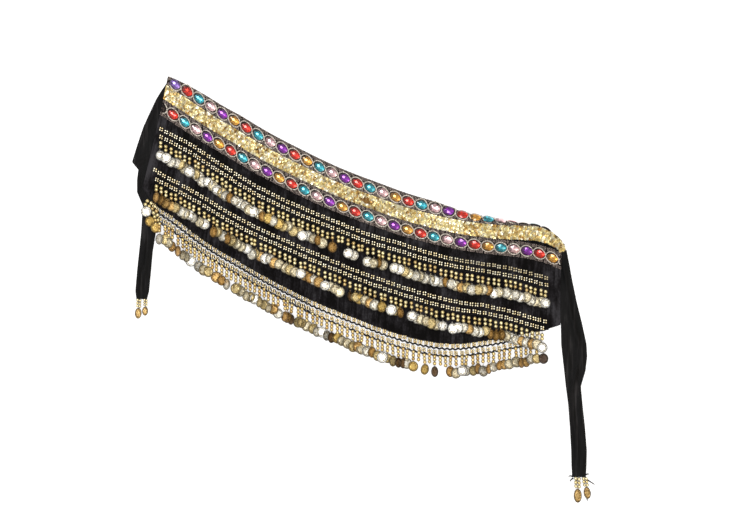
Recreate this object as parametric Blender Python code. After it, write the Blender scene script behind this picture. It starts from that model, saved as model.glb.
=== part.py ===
"""A belly dance hip scarf laid flat on a surface, in metres with +Z up.

The wearer's right end is at -X and the waist edge faces +Y. Every piece on the velvet is worked out
from the velvet's own surface, moved out. A place on that surface has two coordinates, in millimetres:
c, the X of the column of cloth where it crosses the lower row of jewels, and u, which is the distance
above that row, square to it, or below zero the drop under it.
"""

import bpy
import numpy as np

MM = 0.001
GAP = 0.3
LOOSE_GAP = 0.6

# Walls and heights off what a piece lies on.
VELVET = 1.8
RIBBON = 1.6
BRAID = 1.8
JEWEL_SHOULDER = 1.2
JEWEL_CROWN = 4.2
SEQUINS = 1.2
NET = 2.6
BEADS = 5.6
COINS = 7.0
PENDANT = 2.4

# Heights over the lower jewel row, and the widths of the bands.
BRAID_FOOT = 11.2
BRAID_HEAD = 11.7
SEQUIN_WIDTH = 19.2

# Drops below a tier's upper row of beads, and below the hem.
NET_HEAD = 2.2
NET_DROP = 13.8
COIN_DROP = 50.0
HEM_CLEAR = 5.0
HEM_NET_DROP = 18.0
HEM_COIN_DROP = 53.0

# The roll at the waist, and the run over which the cloth comes down from it and from the ties.
ROLL_RADIUS = 6.0
RISE_RUN = 76.0
TIE_MARGIN = 7.0
TIE_RUN = 15.0

# Where along the hips the pieces end, and where the hem's tier starts to lie under the one above.
LEFT_END = -300.0
RIGHT_END = 297.0
TIER_END = 285.0
UNDER_FROM = 165.0
UNDER_RUN = 30.0

# The middle of the laid-out scarf's box, which becomes the origin.
CENTRE = (-1.0, 1.3, 0.0)

COLUMNS = 46
FLAT_MIDDLE = VELVET / 2
UPPER_SHARES = np.linspace(0, 1, 9)
JEWEL_SHARE = 0.43
SMOOTH_ANGLE = 40.0

# A row for each station across the hips. jewels is the Y of the lower jewel row, lean_up and lean_down
# are the sideways run of the column of cloth for each millimetre up and down, sequins and top are the
# heights over the row of the sequin band's foot and of the cut edge, rolled is how much of the height is
# rolled back, and tier_1, tier_2 and hem are drops.
STATION_NAMES = (
    "x", "jewels", "lean_up", "lean_down", "sequins", "top", "rolled", "tier_1", "tier_2", "hem",
)
STATIONS = (
    (-300.0, 275.0, 0.20, 0.24, 12.0, 44.0, 0.0, 29.5, 86.5, 119.0),
    (-281.0, 262.5, 0.19, 0.22, 12.0, 47.5, 0.0, 28.0, 88.0, 132.0),
    (-258.0, 247.5, 0.17, 0.20, 12.0, 50.0, 0.0, 25.0, 86.5, 135.0),
    (-228.0, 228.5, 0.15, 0.18, 12.0, 51.5, 0.0, 25.5, 85.5, 140.5),
    (-198.0, 211.0, 0.12, 0.17, 12.0, 52.0, 0.0, 27.5, 86.5, 144.5),
    (-168.0, 193.0, 0.10, 0.15, 12.0, 52.5, 0.0, 28.5, 86.5, 145.5),
    (-108.0, 161.5, 0.06, 0.12, 12.0, 52.5, 0.0, 28.0, 85.0, 150.0),
    (-48.0, 133.5, 0.04, 0.10, 12.0, 52.5, 0.0, 25.5, 84.0, 152.5),
    (12.0, 110.5, 0.03, 0.09, 12.0, 52.5, 0.0, 26.0, 85.5, 154.0),
    (57.0, 95.0, 0.02, 0.08, 12.0, 52.0, 0.5, 24.0, 86.0, 156.0),
    (102.0, 83.0, 0.02, 0.07, 12.0, 50.0, 5.5, 26.0, 88.5, 156.5),
    (147.0, 73.5, 0.02, 0.07, 12.0, 50.0, 14.1, 27.0, 90.0, 152.5),
    (192.0, 67.0, 0.02, 0.06, 12.5, 50.0, 17.4, 27.5, 90.0, 141.0),
    (237.0, 62.0, 0.02, 0.06, 14.5, 49.5, 20.5, 31.0, 95.5, 128.0),
    (262.0, 57.5, 0.03, 0.04, 17.0, 49.0, 19.4, 33.5, 99.5, 118.0),
    (283.0, 50.5, 0.05, 0.02, 16.0, 45.0, 19.7, 32.5, 98.0, 107.0),
    (297.0, 43.5, 0.06, 0.00, 13.5, 38.0, 19.6, 30.0, 95.0, 94.5),
)

# A row for each section of a ribbon: its Y, and the X of its outer and inner edges.
TIE_NAMES = ("y", "outer", "inner")
TIE_LEFT = (
    (310.0, -294.0, -271.0),
    (299.0, -301.5, -275.0),
    (287.5, -308.5, -279.5),
    (266.5, -318.5, -286.5),
    (245.5, -328.0, -293.5),
    (212.5, -339.0, -301.5),
    (193.0, -345.0, -304.5),
    (181.5, -335.5, -305.0),
    (166.0, -337.5, -304.0),
    (148.0, -337.5, -303.5),
    (127.0, -328.5, -303.0),
    (110.5, -330.0, -306.0),
    (86.5, -331.5, -309.5),
    (58.0, -334.5, -314.0),
    (29.5, -337.5, -316.5),
    (-0.5, -340.0, -319.5),
    (-12.5, -338.5, -322.5),
)
TIE_RIGHT = (
    (61.0, 306.5, 284.5),
    (38.0, 311.0, 284.5),
    (16.0, 315.0, 284.5),
    (-15.5, 321.5, 290.0),
    (-50.0, 330.0, 298.0),
    (-80.0, 336.5, 298.5),
    (-98.5, 337.5, 300.5),
    (-120.0, 335.0, 303.0),
    (-143.5, 328.0, 305.5),
    (-170.5, 330.5, 309.0),
    (-203.0, 334.0, 311.5),
    (-239.0, 337.0, 313.5),
    (-261.5, 336.5, 314.0),
    (-279.5, 335.5, 315.0),
)

# A row for each section of a pendant: how far down it is and half its width there, in parts of the whole.
PENDANT_NAMES = ("down", "half_width")
PENDANT_SECTIONS = (
    (0.00, 0.16),
    (0.08, 0.34),
    (0.38, 0.30),
    (0.45, 0.62),
    (0.58, 0.92),
    (0.74, 1.00),
    (0.88, 0.72),
    (1.00, 0.26),
)
# A row for each pendant: its name, the X and Y of its head, its length and width, and how far its foot
# swings to the side.
PENDANT_PLACES = (
    ("pendant_left_1", -334.5, -12.8, 29.0, 10.0, -1.5),
    ("pendant_left_2", -324.6, -12.8, 24.5, 9.0, -1.0),
    ("pendant_right_1", 322.5, -279.8, 38.0, 12.5, 1.0),
    ("pendant_right_2", 333.5, -279.8, 32.5, 11.0, 5.5),
)

COLOURS = {
    "velvet": ((0.012, 0.012, 0.016), 0.95, 0.0),
    "ribbon": ((0.016, 0.016, 0.020), 0.55, 0.0),
    "braid": ((0.10, 0.095, 0.10), 0.60, 0.0),
    "sequins": ((0.78, 0.66, 0.42), 0.25, 0.9),
    "beads": ((0.83, 0.68, 0.40), 0.25, 0.9),
    "coins": ((0.80, 0.70, 0.52), 0.30, 1.0),
}


def clear_scene():
    for old in list(bpy.data.objects):
        bpy.data.objects.remove(old, do_unlink=True)


def column_of(rows, names, name):
    return np.array([row[names.index(name)] for row in rows])


def smooth_between(at, known_at, known):
    """A curve through the known values, each piece a cubic whose slopes are the mean of its neighbours'."""
    slopes = np.gradient(known, known_at)
    i = np.clip(np.searchsorted(known_at, at) - 1, 0, len(known_at) - 2)
    width = known_at[i + 1] - known_at[i]
    t = (at - known_at[i]) / width
    return (
        (1 + 2 * t) * (1 - t) ** 2 * known[i]
        + t * (1 - t) ** 2 * width * slopes[i]
        + t * t * (3 - 2 * t) * known[i + 1]
        - t * t * (1 - t) * width * slopes[i + 1]
    )


def station(c, name):
    places = column_of(STATIONS, STATION_NAMES, "x")
    within = np.clip(c, places[0], places[-1])
    return smooth_between(within, places, column_of(STATIONS, STATION_NAMES, name))


def ease(t):
    t = np.clip(t, 0, 1)
    return t * t * (3 - 2 * t)


def tie_edge(rows, y, name):
    heights = column_of(rows, TIE_NAMES, "y")
    return np.interp(y, heights[::-1], column_of(rows, TIE_NAMES, name)[::-1])


def over_ties(x, y):
    """How much the ties lift what lies over them: a ribbon's wall and a gap, eased off beside them."""
    reach = TIE_MARGIN + TIE_RUN
    left = ease((tie_edge(TIE_LEFT, y, "inner") + reach - x) / TIE_RUN)
    right = ease((x - tie_edge(TIE_RIGHT, y, "inner") + reach) / TIE_RUN)
    return (RIBBON + GAP) * np.maximum(left, right)


def roll_height(turn):
    """How far the middle of the wall is raised at the waist so that a roll of this turn clears the floor."""
    outer = ROLL_RADIUS + FLAT_MIDDLE + GAP + BRAID
    return ROLL_RADIUS * (1 - np.cos(np.minimum(turn, np.pi / 2))) + outer * np.maximum(-np.cos(turn), 0)


def middle(c, u, straight_from=None):
    """Points of the middle of the velvet's wall, for arrays of c and u of one shape.

    Above the jewel row the cloth runs flat and then turns back round a roll. Below it the cloth runs down
    its leaning column, or straight down past the drop straight_from.
    """
    step = 0.5
    slope = (station(c + step, "jewels") - station(c - step, "jewels")) / (2 * step)
    along = 1 / np.hypot(1, slope)
    lean_up = station(c, "lean_up")
    fold = station(c, "top") - station(c, "rolled")
    above = np.maximum(u, 0)
    drop = np.maximum(-u, 0)
    turn = np.maximum(above - fold, 0) / ROLL_RADIUS
    up = (np.minimum(above, fold) + ROLL_RADIUS * np.sin(turn)) / (along - lean_up * slope * along)
    leaning = drop if straight_from is None else np.minimum(drop, straight_from)
    x = c + lean_up * up - station(c, "lean_down") * leaning
    y = station(c, "jewels") + up - drop
    below_fold = np.maximum(fold - u, 0)
    raised = roll_height(station(c, "rolled") / ROLL_RADIUS) * ease(1 - below_fold / RISE_RUN)
    z = FLAT_MIDDLE + raised - ROLL_RADIUS * (1 - np.cos(turn)) + over_ties(x, y)
    return np.stack([x, y, z], axis=-1)


def outward(c, u, straight_from=None):
    """Unit normals of the velvet's face, from points a little way along each coordinate."""
    step = 0.2
    across = middle(c + step, u, straight_from) - middle(c - step, u, straight_from)
    upward = middle(c, u + step, straight_from) - middle(c, u - step, straight_from)
    normal = np.cross(across, upward)
    return normal / np.linalg.norm(normal, axis=-1, keepdims=True)


def material(name):
    colour, roughness, metallic = COLOURS[name]
    made = bpy.data.materials.new(name)
    made.use_nodes = True
    shader = made.node_tree.nodes["Principled BSDF"]
    shader.inputs["Base Color"].default_value = (*colour, 1)
    shader.inputs["Roughness"].default_value = roughness
    shader.inputs["Metallic"].default_value = metallic
    made.diffuse_color = (*colour, 1)
    return made


def slab(name, lower, upper, finish):
    """One closed body between two grids of points: a top, a bottom and a wall round the edge.

    The grids' first index runs along +X and the second runs along +Y.
    """
    across, along = lower.shape[:2]
    points = (np.concatenate([lower.reshape(-1, 3), upper.reshape(-1, 3)]) - CENTRE) * MM
    index = np.arange(across * along).reshape(across, along)
    a, b, c, d = (part.ravel() for part in (index[:-1, :-1], index[1:, :-1], index[1:, 1:], index[:-1, 1:]))
    top = np.stack([a, b, c, d], axis=1) + across * along
    bottom = np.stack([d, c, b, a], axis=1)
    rim = np.concatenate([index[:, 0], index[-1, 1:], index[-2::-1, -1], index[0, -2:0:-1]])
    after = np.roll(rim, -1)
    side = np.stack([rim, after, after + across * along, rim + across * along], axis=1)
    mesh = bpy.data.meshes.new(name)
    mesh.from_pydata(points.tolist(), [], np.concatenate([top, bottom, side]).tolist())
    mesh.update()
    mesh.shade_smooth()
    mesh.set_sharp_from_angle(angle=np.radians(SMOOTH_ANGLE))
    mesh.materials.append(material(finish))
    made = bpy.data.objects.new(name, mesh)
    bpy.context.scene.collection.objects.link(made)
    return made


def on_velvet(name, u, low, high, finish, columns, straight_from=None):
    """A slab on the velvet. u, low and high are grids or rows: the place, and how far each face stands off
    the middle of the velvet's wall."""
    c = np.broadcast_to(columns[:, None], u.shape)
    start = None if straight_from is None else np.broadcast_to(straight_from[:, None], u.shape)
    points = middle(c, u, start)
    normals = outward(c, u, start)
    low = np.broadcast_to(low, u.shape)[..., None]
    high = np.broadcast_to(high, u.shape)[..., None]
    return slab(name, points + normals * low, points + normals * high, finish)


def spread(start, end, share):
    """Rows between two edges, each an array over the columns. share holds the parts of the way."""
    return start[:, None] + (end - start)[:, None] * np.array(share)[None, :]


def sequin_rows(columns):
    """The sequin band's own five rows, from its foot to its head."""
    foot = station(columns, "sequins")
    return spread(foot, foot + SEQUIN_WIDTH, (0, 0.25, 0.5, 0.75, 1))


def lower_braid_rows(columns):
    """The lower braid's rows, with one along its jewels."""
    below = np.array([-BRAID_FOOT, -BRAID_FOOT / 2])
    above = np.array([0, BRAID_HEAD / 2, BRAID_HEAD])
    return np.broadcast_to(np.concatenate([below, above]), (len(columns), 5))


def upper_braid_rows(columns):
    """The upper braid's rows, close enough together to follow the roll."""
    return spread(station(columns, "sequins") + SEQUIN_WIDTH + GAP, station(columns, "top"), UPPER_SHARES)


def make_velvet(columns):
    """The wrap, from the hem to the cut edge of the waist. Its rows follow the rows of what lies on it."""
    hem = -station(columns, "hem")
    tier = -station(columns, "tier_1")
    rows = [
        spread(hem, tier - COIN_DROP, (0, 1 / 3, 2 / 3)),
        spread(tier - COIN_DROP, tier - NET_DROP, (0, 1 / 3, 2 / 3, 1)),
        spread(tier + NET_HEAD, tier, (0,)),
        lower_braid_rows(columns),
        sequin_rows(columns),
        upper_braid_rows(columns),
    ]
    on_velvet("velvet_panel", np.concatenate(rows, axis=1), -FLAT_MIDDLE, FLAT_MIDDLE, "velvet", columns)


def make_braids(columns):
    """Both jewelled braids, domed along the middle by the crowns of their jewels."""
    face = FLAT_MIDDLE + GAP
    crown = np.array([BRAID, BRAID + JEWEL_SHOULDER, JEWEL_CROWN, BRAID + JEWEL_SHOULDER, BRAID])
    on_velvet("jewel_braid_lower", lower_braid_rows(columns), face, face + crown, "braid", columns)
    dome = np.clip(1 - np.abs(UPPER_SHARES - JEWEL_SHARE) / JEWEL_SHARE, 0, 1)
    crown = BRAID + (JEWEL_CROWN - BRAID) * dome
    on_velvet("jewel_braid_upper", upper_braid_rows(columns), face, face + crown, "braid", columns)


def make_sequins(columns):
    face = FLAT_MIDDLE + GAP
    on_velvet("sequin_band", sequin_rows(columns), face, face + SEQUINS, "sequins", columns)


def lies_under(columns):
    """From 0 to 1: how far the hem's own tier is thinned to lie under the coins of the tier above it."""
    return ease((columns - UNDER_FROM) / UNDER_RUN)


def make_tier(number, columns):
    """One tier on the velvet: a net of bead squares, and the reach of the beads and coins under it. Its coins
    stop short of the hem, and pass over it only where the hem's own tier is thin."""
    face = FLAT_MIDDLE + LOOSE_GAP
    tier = -station(columns, "tier_%d" % number)
    net = spread(tier - NET_DROP + GAP, tier + NET_HEAD, (0, 1))
    on_velvet("bead_net_%d" % number, net, face, face + NET, "beads", columns)
    hem = -station(columns, "hem") + HEM_CLEAR - COIN_DROP * lies_under(columns)
    fringe = spread(np.maximum(tier - COIN_DROP, hem), tier - NET_DROP, (0, 1 / 3, 2 / 3, 1))
    height = np.array([NET, COINS, BEADS, NET])
    on_velvet("coin_fringe_%d" % number, fringe, face, face + height, "coins", columns, NET_DROP - tier)


def make_hem_tier(columns):
    """The net sewn along the hem and its coins, which lie on the surface. It thins at the right, where the
    coins of the tier above lie over it."""
    hem = -station(columns, "hem") - GAP
    thin = lies_under(columns)[:, None]
    under = -FLAT_MIDDLE
    net = spread(hem - HEM_NET_DROP + GAP, hem, (0, 1))
    net_height = NET + (VELVET - NET) * thin
    on_velvet("bead_net_3", net, under, under + net_height, "beads", columns, -hem)
    fringe = spread(hem - HEM_COIN_DROP, hem - HEM_NET_DROP, (0, 1 / 3, 2 / 3, 1))
    height = np.array([NET, COINS, BEADS, NET])[None, :]
    fringe_height = height + (VELVET - height) * thin
    on_velvet("coin_fringe_3", fringe, under, under + fringe_height, "coins", columns, -hem)


def make_tie(name, rows):
    """A ribbon flat on the surface, a section for each row of its table from the end up to the waist."""
    y = column_of(rows, TIE_NAMES, "y")[::-1]
    edges = [column_of(rows, TIE_NAMES, edge)[::-1] for edge in ("outer", "inner")]
    left, right = sorted(edges, key=lambda edge: edge.mean())
    x = np.stack([left, (left + right) / 2, right])
    flat = np.stack([x, np.broadcast_to(y, x.shape), np.zeros_like(x)], axis=-1)
    slab(name, flat, flat + (0, 0, RIBBON), "ribbon")


def make_pendant(name, x, head, length, width, swing):
    """Beads and a coin lying below a tie's end, one section for each row of their table."""
    down = column_of(PENDANT_SECTIONS, PENDANT_NAMES, "down")[::-1]
    half = column_of(PENDANT_SECTIONS, PENDANT_NAMES, "half_width")[::-1] * width / 2
    middle_x = x + swing * down
    across = np.stack([middle_x - half, middle_x, middle_x + half])
    y = np.broadcast_to(head - down * length, across.shape)
    flat = np.stack([across, y, np.zeros_like(across)], axis=-1)
    slab(name, flat, flat + (0, 0, PENDANT), "coins")


def build():
    clear_scene()
    columns = np.linspace(LEFT_END, RIGHT_END, COLUMNS)
    make_velvet(columns)
    make_braids(columns)
    make_sequins(columns)
    beaded = columns[columns < TIER_END]
    make_tier(1, beaded)
    make_tier(2, beaded)
    make_hem_tier(beaded)
    make_tie("tie_left", TIE_LEFT)
    make_tie("tie_right", TIE_RIGHT)
    for row in PENDANT_PLACES:
        make_pendant(*row)


build()
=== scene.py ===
# %% [markdown]
# # A belly dance hip scarf, laid out flat
#
# The scarf is a curved wrap of black velvet. Two braids set with oval jewels run along the waist with a band
# of sequins between them, three tiers of beads and coins hang below, and a ribbon at each end ties it on.
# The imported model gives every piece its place. This script gives each one its looks.
#
# Lengths are in millimetres until a mesh is made, because that is how a maker measures trimmings.

# %% Load the frame
import functools

import bpy
import numpy as np
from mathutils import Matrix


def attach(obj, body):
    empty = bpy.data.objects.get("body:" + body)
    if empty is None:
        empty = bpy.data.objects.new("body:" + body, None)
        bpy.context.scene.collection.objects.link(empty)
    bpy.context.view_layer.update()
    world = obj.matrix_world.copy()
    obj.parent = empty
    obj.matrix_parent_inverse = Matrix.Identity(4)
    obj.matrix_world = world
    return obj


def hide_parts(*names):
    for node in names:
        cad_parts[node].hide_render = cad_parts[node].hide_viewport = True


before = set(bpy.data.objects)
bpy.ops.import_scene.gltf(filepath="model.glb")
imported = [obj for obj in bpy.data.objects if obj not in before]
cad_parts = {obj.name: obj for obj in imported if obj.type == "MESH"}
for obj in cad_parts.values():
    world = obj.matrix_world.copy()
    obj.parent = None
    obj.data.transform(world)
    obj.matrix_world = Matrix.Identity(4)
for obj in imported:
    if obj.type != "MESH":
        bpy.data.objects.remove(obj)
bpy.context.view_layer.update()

# %% [markdown]
# ## The camera
#
# The scarf is seen from straight above, so the camera looks down and needs no turning: a camera that isn't
# turned looks along -Z with +Y at the top of its picture. Its lens follows from two lengths, the width of
# surface in the picture and the height it is seen from. Far away and long is right for a flat thing.

# %% The camera
MM = 0.001
PICTURE_WIDTH = 1.125
PICTURE_CENTRE = (0.0203, 0.0538)
EYE_HEIGHT = 3.0
SENSOR = 36.0

camera_data = bpy.data.cameras.new("camera")
camera_data.sensor_width = SENSOR
camera_data.lens = SENSOR * EYE_HEIGHT / PICTURE_WIDTH
camera = bpy.data.objects.new("camera", camera_data)
camera.location = (*PICTURE_CENTRE, EYE_HEIGHT)
bpy.context.scene.collection.objects.link(camera)
bpy.context.scene.camera = camera
bpy.context.scene.view_settings.view_transform = "Standard"
print("lens", round(camera_data.lens, 1), "mm")

# %% [markdown]
# ## Materials out of nodes
#
# The room, the floor and every finish are built of shader nodes. One helper adds a node and fills its inputs,
# with a value or with another node's output, and the others are short names for what comes back often.

# %% Node helpers
def finish_of(name, sockets):
    """A material with the Principled shader's sockets set as the dictionary says."""
    made = bpy.data.materials.new(name)
    made.use_nodes = True
    for socket, value in sockets.items():
        made.node_tree.nodes["Principled BSDF"].inputs[socket].default_value = value
    return made


def node(made, kind, inputs=None, **settings):
    """A new node of a kind. inputs maps a socket to a value, or to the output that feeds it."""
    added = made.node_tree.nodes.new("ShaderNode" + kind)
    for setting, value in settings.items():
        setattr(added, setting, value)
    for socket, value in (inputs or {}).items():
        feed(made, added.inputs[socket], value)
    return added


def feed(made, socket, value):
    """Links an output to the socket, or sets the socket to a value."""
    if isinstance(value, bpy.types.NodeSocket):
        made.node_tree.links.new(value, socket)
    else:
        socket.default_value = value


def shade(made, socket, value):
    """The same for a socket of the material's Principled shader."""
    feed(made, made.node_tree.nodes["Principled BSDF"].inputs[socket], value)


def sums(made, operation, *values):
    """One number from others, by a Math node."""
    return node(made, "Math", dict(enumerate(values)), operation=operation).outputs[0]


def ramped(made, value, *stops):
    """A colour that follows a number through stops of (place, colour)."""
    added = node(made, "ValToRGB", {0: value})
    elements = added.color_ramp.elements
    while len(elements) < len(stops):
        elements.new(0.5)
    for element, (place, colour) in zip(elements, stops):
        element.position = place
        element.color = (*colour, 1)
    return added.outputs[0]


def pattern_place(made, along=1, across=None, turn=0.0):
    """The piece's own pattern coordinates, in metres along and across the cloth: each times a scale, which is
    the same for both unless both are given, and then turned by an angle."""
    chart = node(made, "UVMap", uv_map="pattern").outputs[0]
    scale = (along, along if across is None else across, 1)
    return node(made, "Mapping", {"Vector": chart, "Scale": scale, "Rotation": (0, 0, turn)}).outputs[0]


def room_place(made, scale):
    """Coordinates in the room, in metres, times a scale: every object's origin is the room's."""
    place = node(made, "TexCoord").outputs["Object"]
    return node(made, "Mapping", {"Vector": place, "Scale": (scale, scale, scale)}).outputs[0]


def noise(made, place, detail=2.0, roughness=0.5):
    """Soft random values. The place carries the scale, so the noise's own is 1."""
    values = {"Vector": place, "Scale": 1.0, "Detail": detail, "Roughness": roughness}
    return node(made, "TexNoise", values).outputs[0]


def stripes(made, place, scale, distortion=0.0, direction="X"):
    """Even stripes from 0 to 1 that follow one another in a direction."""
    values = {"Vector": place, "Scale": scale, "Distortion": distortion}
    return node(made, "TexWave", values, bands_direction=direction).outputs[1]


def tinted(made, tone):
    """The tint that each copy has of its own, times a tone."""
    tint = node(made, "Attribute", attribute_name="tint").outputs[0]
    factors = {0: 1.0, 6: tint, 7: tone}
    return node(made, "Mix", factors, data_type="RGBA", blend_type="MULTIPLY").outputs[2]


def bumped(made, height, depth):
    """Raises the shading by a height from 0 to 1, whose full size is the depth in millimetres."""
    values = {"Height": height, "Distance": depth * MM, "Strength": 1.0}
    shade(made, "Normal", node(made, "Bump", values).outputs[0])


# %% [markdown]
# ## The room and its floor
#
# Coins and sequins are small mirrors. A coin that lies flat sends back what is straight above it, so a soft
# box above the camera makes it flash white, and a coin that leans sends back the dim side of the room and
# looks like brass. The room is therefore bright overhead and warm and darker towards its walls.

# %% The room
ROOM_COLOURS = ((0.0, (0.50, 0.41, 0.31)), (0.5, (0.60, 0.57, 0.53)), (1.0, (0.90, 0.91, 0.94)))
ROOM_STRENGTH = 0.8

world = bpy.data.worlds.new("room")
bpy.context.scene.world = world
world.use_nodes = True
heading = node(world, "TexCoord").outputs["Generated"]
towards_sky = node(world, "SeparateXYZ", {0: heading}).outputs["Z"]
background = world.node_tree.nodes["Background"].inputs
feed(world, background["Color"], ramped(world, towards_sky, *ROOM_COLOURS))
feed(world, background["Strength"], ROOM_STRENGTH)


def soft_box(name, place, width, watts, colour=(1, 1, 1)):
    """A square lamp at a place in metres, turned to face the middle of the scarf."""
    data = bpy.data.lights.new(name, "AREA")
    data.size = width
    data.energy = watts
    data.color = colour
    lamp = bpy.data.objects.new(name, data)
    lamp.location = place
    lamp.rotation_euler = lamp.location.to_track_quat("Z", "Y").to_euler()
    bpy.context.scene.collection.objects.link(lamp)


soft_box("overhead", (0.0, 0.1, 3.9), 1.7, 75)
soft_box("from_waist_side", (-1.5, 1.6, 1.9), 0.7, 14, (0.95, 0.97, 1.0))
soft_box("from_hem_side", (1.5, -1.3, 1.5), 0.8, 8, (1.0, 0.90, 0.76))

# %% The floor
def floor_finish():
    """White paper with faint clouds, which glows a little so that the shadows on it stay pale."""
    made = finish_of("pale_floor", {
        "Roughness": 0.9,
        "Specular IOR Level": 0.1,
        "Emission Color": (1.0, 1.0, 1.0, 1.0),
        "Emission Strength": 0.3,
    })
    clouds = noise(made, room_place(made, 3))
    shade(made, "Base Color", ramped(made, clouds, (0.0, (0.90, 0.90, 0.90)), (1.0, (0.94, 0.94, 0.94))))
    return made


FLOOR_HALF = 6.0
floor_mesh = bpy.data.meshes.new("floor")
corners = [(-1, -1), (1, -1), (1, 1), (-1, 1)]
floor_mesh.from_pydata([(x * FLOOR_HALF, y * FLOOR_HALF, 0) for x, y in corners], [], [(0, 1, 2, 3)])
floor_mesh.materials.append(floor_finish())
floor = bpy.data.objects.new("floor", floor_mesh)
bpy.context.scene.collection.objects.link(floor)

# %% [markdown]
# ## The velvet's surface as a formula
#
# Everything on the scarf is sewn to the velvet, so the velvet's surface comes first, as a function of two
# numbers. c says which column of cloth, by its X where it crosses the lower row of jewels, and u says how far
# up the column, from that row. A short table of stations across the hips holds what was measured, and a
# smooth curve runs between its rows. It is the same table as the solid model's, so the two agree.

# %% Stations across the hips
# Where the table's origin lies in the frame, the columns at both ends, and the thickness of the solids.
CENTRE = np.array([-1.0, 1.3, 0.0])
LEFT_END = -300.0
RIGHT_END = 297.0
VELVET = 1.8
RIBBON = 1.6
BRAID = 1.8
GAP = 0.3
FACE = VELVET / 2

# jewels is the Y of the lower jewel row, and rolled how much of the velvet is rolled back. The leans say how
# far a column shifts sideways for each millimetre along Y, and the rest are heights or drops from the row.
STATION_NAMES = (
    "x", "jewels", "lean_up", "lean_down", "sequins", "top", "rolled", "tier_1", "tier_2", "hem",
)
STATIONS = (
    (-300.0, 275.0, 0.20, 0.24, 12.0, 44.0, 0.0, 29.5, 86.5, 119.0),
    (-281.0, 262.5, 0.19, 0.22, 12.0, 47.5, 0.0, 28.0, 88.0, 132.0),
    (-258.0, 247.5, 0.17, 0.20, 12.0, 50.0, 0.0, 25.0, 86.5, 135.0),
    (-228.0, 228.5, 0.15, 0.18, 12.0, 51.5, 0.0, 25.5, 85.5, 140.5),
    (-198.0, 211.0, 0.12, 0.17, 12.0, 52.0, 0.0, 27.5, 86.5, 144.5),
    (-168.0, 193.0, 0.10, 0.15, 12.0, 52.5, 0.0, 28.5, 86.5, 145.5),
    (-108.0, 161.5, 0.06, 0.12, 12.0, 52.5, 0.0, 28.0, 85.0, 150.0),
    (-48.0, 133.5, 0.04, 0.10, 12.0, 52.5, 0.0, 25.5, 84.0, 152.5),
    (12.0, 110.5, 0.03, 0.09, 12.0, 52.5, 0.0, 26.0, 85.5, 154.0),
    (57.0, 95.0, 0.02, 0.08, 12.0, 52.0, 0.5, 24.0, 86.0, 156.0),
    (102.0, 83.0, 0.02, 0.07, 12.0, 50.0, 5.5, 26.0, 88.5, 156.5),
    (147.0, 73.5, 0.02, 0.07, 12.0, 50.0, 14.1, 27.0, 90.0, 152.5),
    (192.0, 67.0, 0.02, 0.06, 12.5, 50.0, 17.4, 27.5, 90.0, 141.0),
    (237.0, 62.0, 0.02, 0.06, 14.5, 49.5, 20.5, 31.0, 95.5, 128.0),
    (262.0, 57.5, 0.03, 0.04, 17.0, 49.0, 19.4, 33.5, 99.5, 118.0),
    (283.0, 50.5, 0.05, 0.02, 16.0, 45.0, 19.7, 32.5, 98.0, 107.0),
    (297.0, 43.5, 0.06, 0.00, 13.5, 38.0, 19.6, 30.0, 95.0, 94.5),
)


def column_of(rows, names, name):
    """One column of a table, as an array."""
    return np.array([row[names.index(name)] for row in rows])


def smooth_between(at, known_at, known):
    """A curve through the known values: between two rows it is a cubic whose slope at each row is the mean
    slope of its neighbours."""
    slopes = np.gradient(known, known_at)
    i = np.clip(np.searchsorted(known_at, at) - 1, 0, len(known_at) - 2)
    width = known_at[i + 1] - known_at[i]
    t = (at - known_at[i]) / width
    return (
        (1 + 2 * t) * (1 - t) ** 2 * known[i]
        + t * (1 - t) ** 2 * width * slopes[i]
        + t * t * (3 - 2 * t) * known[i + 1]
        - t * t * (1 - t) * width * slopes[i + 1]
    )


def station(c, name):
    """A column of the stations' table, read at c. Past the last stations the end rows hold."""
    places = column_of(STATIONS, STATION_NAMES, "x")
    within = np.clip(c, places[0], places[-1])
    return smooth_between(within, places, column_of(STATIONS, STATION_NAMES, name))


def ease(t):
    """From 0 to 1 with no corner at either end."""
    t = np.clip(t, 0, 1)
    return t * t * (3 - 2 * t)


def unit(vectors):
    """The same directions with a length of 1."""
    return vectors / np.linalg.norm(vectors, axis=-1, keepdims=True)


# %% [markdown]
# The ribbons lie under both ends of the velvet and lift it by their own thickness. Their outlines are tables
# too: a row for each section, with the X of its outer and inner edge.

# %% The ribbons' outlines
TIE_NAMES = ("y", "outer", "inner")
TIE_LEFT = (
    (310.0, -294.0, -271.0),
    (299.0, -301.5, -275.0),
    (287.5, -308.5, -279.5),
    (266.5, -318.5, -286.5),
    (245.5, -328.0, -293.5),
    (212.5, -339.0, -301.5),
    (193.0, -345.0, -304.5),
    (181.5, -335.5, -305.0),
    (166.0, -337.5, -304.0),
    (148.0, -337.5, -303.5),
    (127.0, -328.5, -303.0),
    (110.5, -330.0, -306.0),
    (86.5, -331.5, -309.5),
    (58.0, -334.5, -314.0),
    (29.5, -337.5, -316.5),
    (-0.5, -340.0, -319.5),
    (-12.5, -338.5, -322.5),
)
TIE_RIGHT = (
    (61.0, 306.5, 284.5),
    (38.0, 311.0, 284.5),
    (16.0, 315.0, 284.5),
    (-15.5, 321.5, 290.0),
    (-50.0, 330.0, 298.0),
    (-80.0, 336.5, 298.5),
    (-98.5, 337.5, 300.5),
    (-120.0, 335.0, 303.0),
    (-143.5, 328.0, 305.5),
    (-170.5, 330.5, 309.0),
    (-203.0, 334.0, 311.5),
    (-239.0, 337.0, 313.5),
    (-261.5, 336.5, 314.0),
    (-279.5, 335.5, 315.0),
)


def tie_edge(rows, y, name):
    """The X of a ribbon's outer or inner edge at a height on the picture. The tables run downwards."""
    heights = column_of(rows, TIE_NAMES, "y")
    return np.interp(y, heights[::-1], column_of(rows, TIE_NAMES, name)[::-1])


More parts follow.
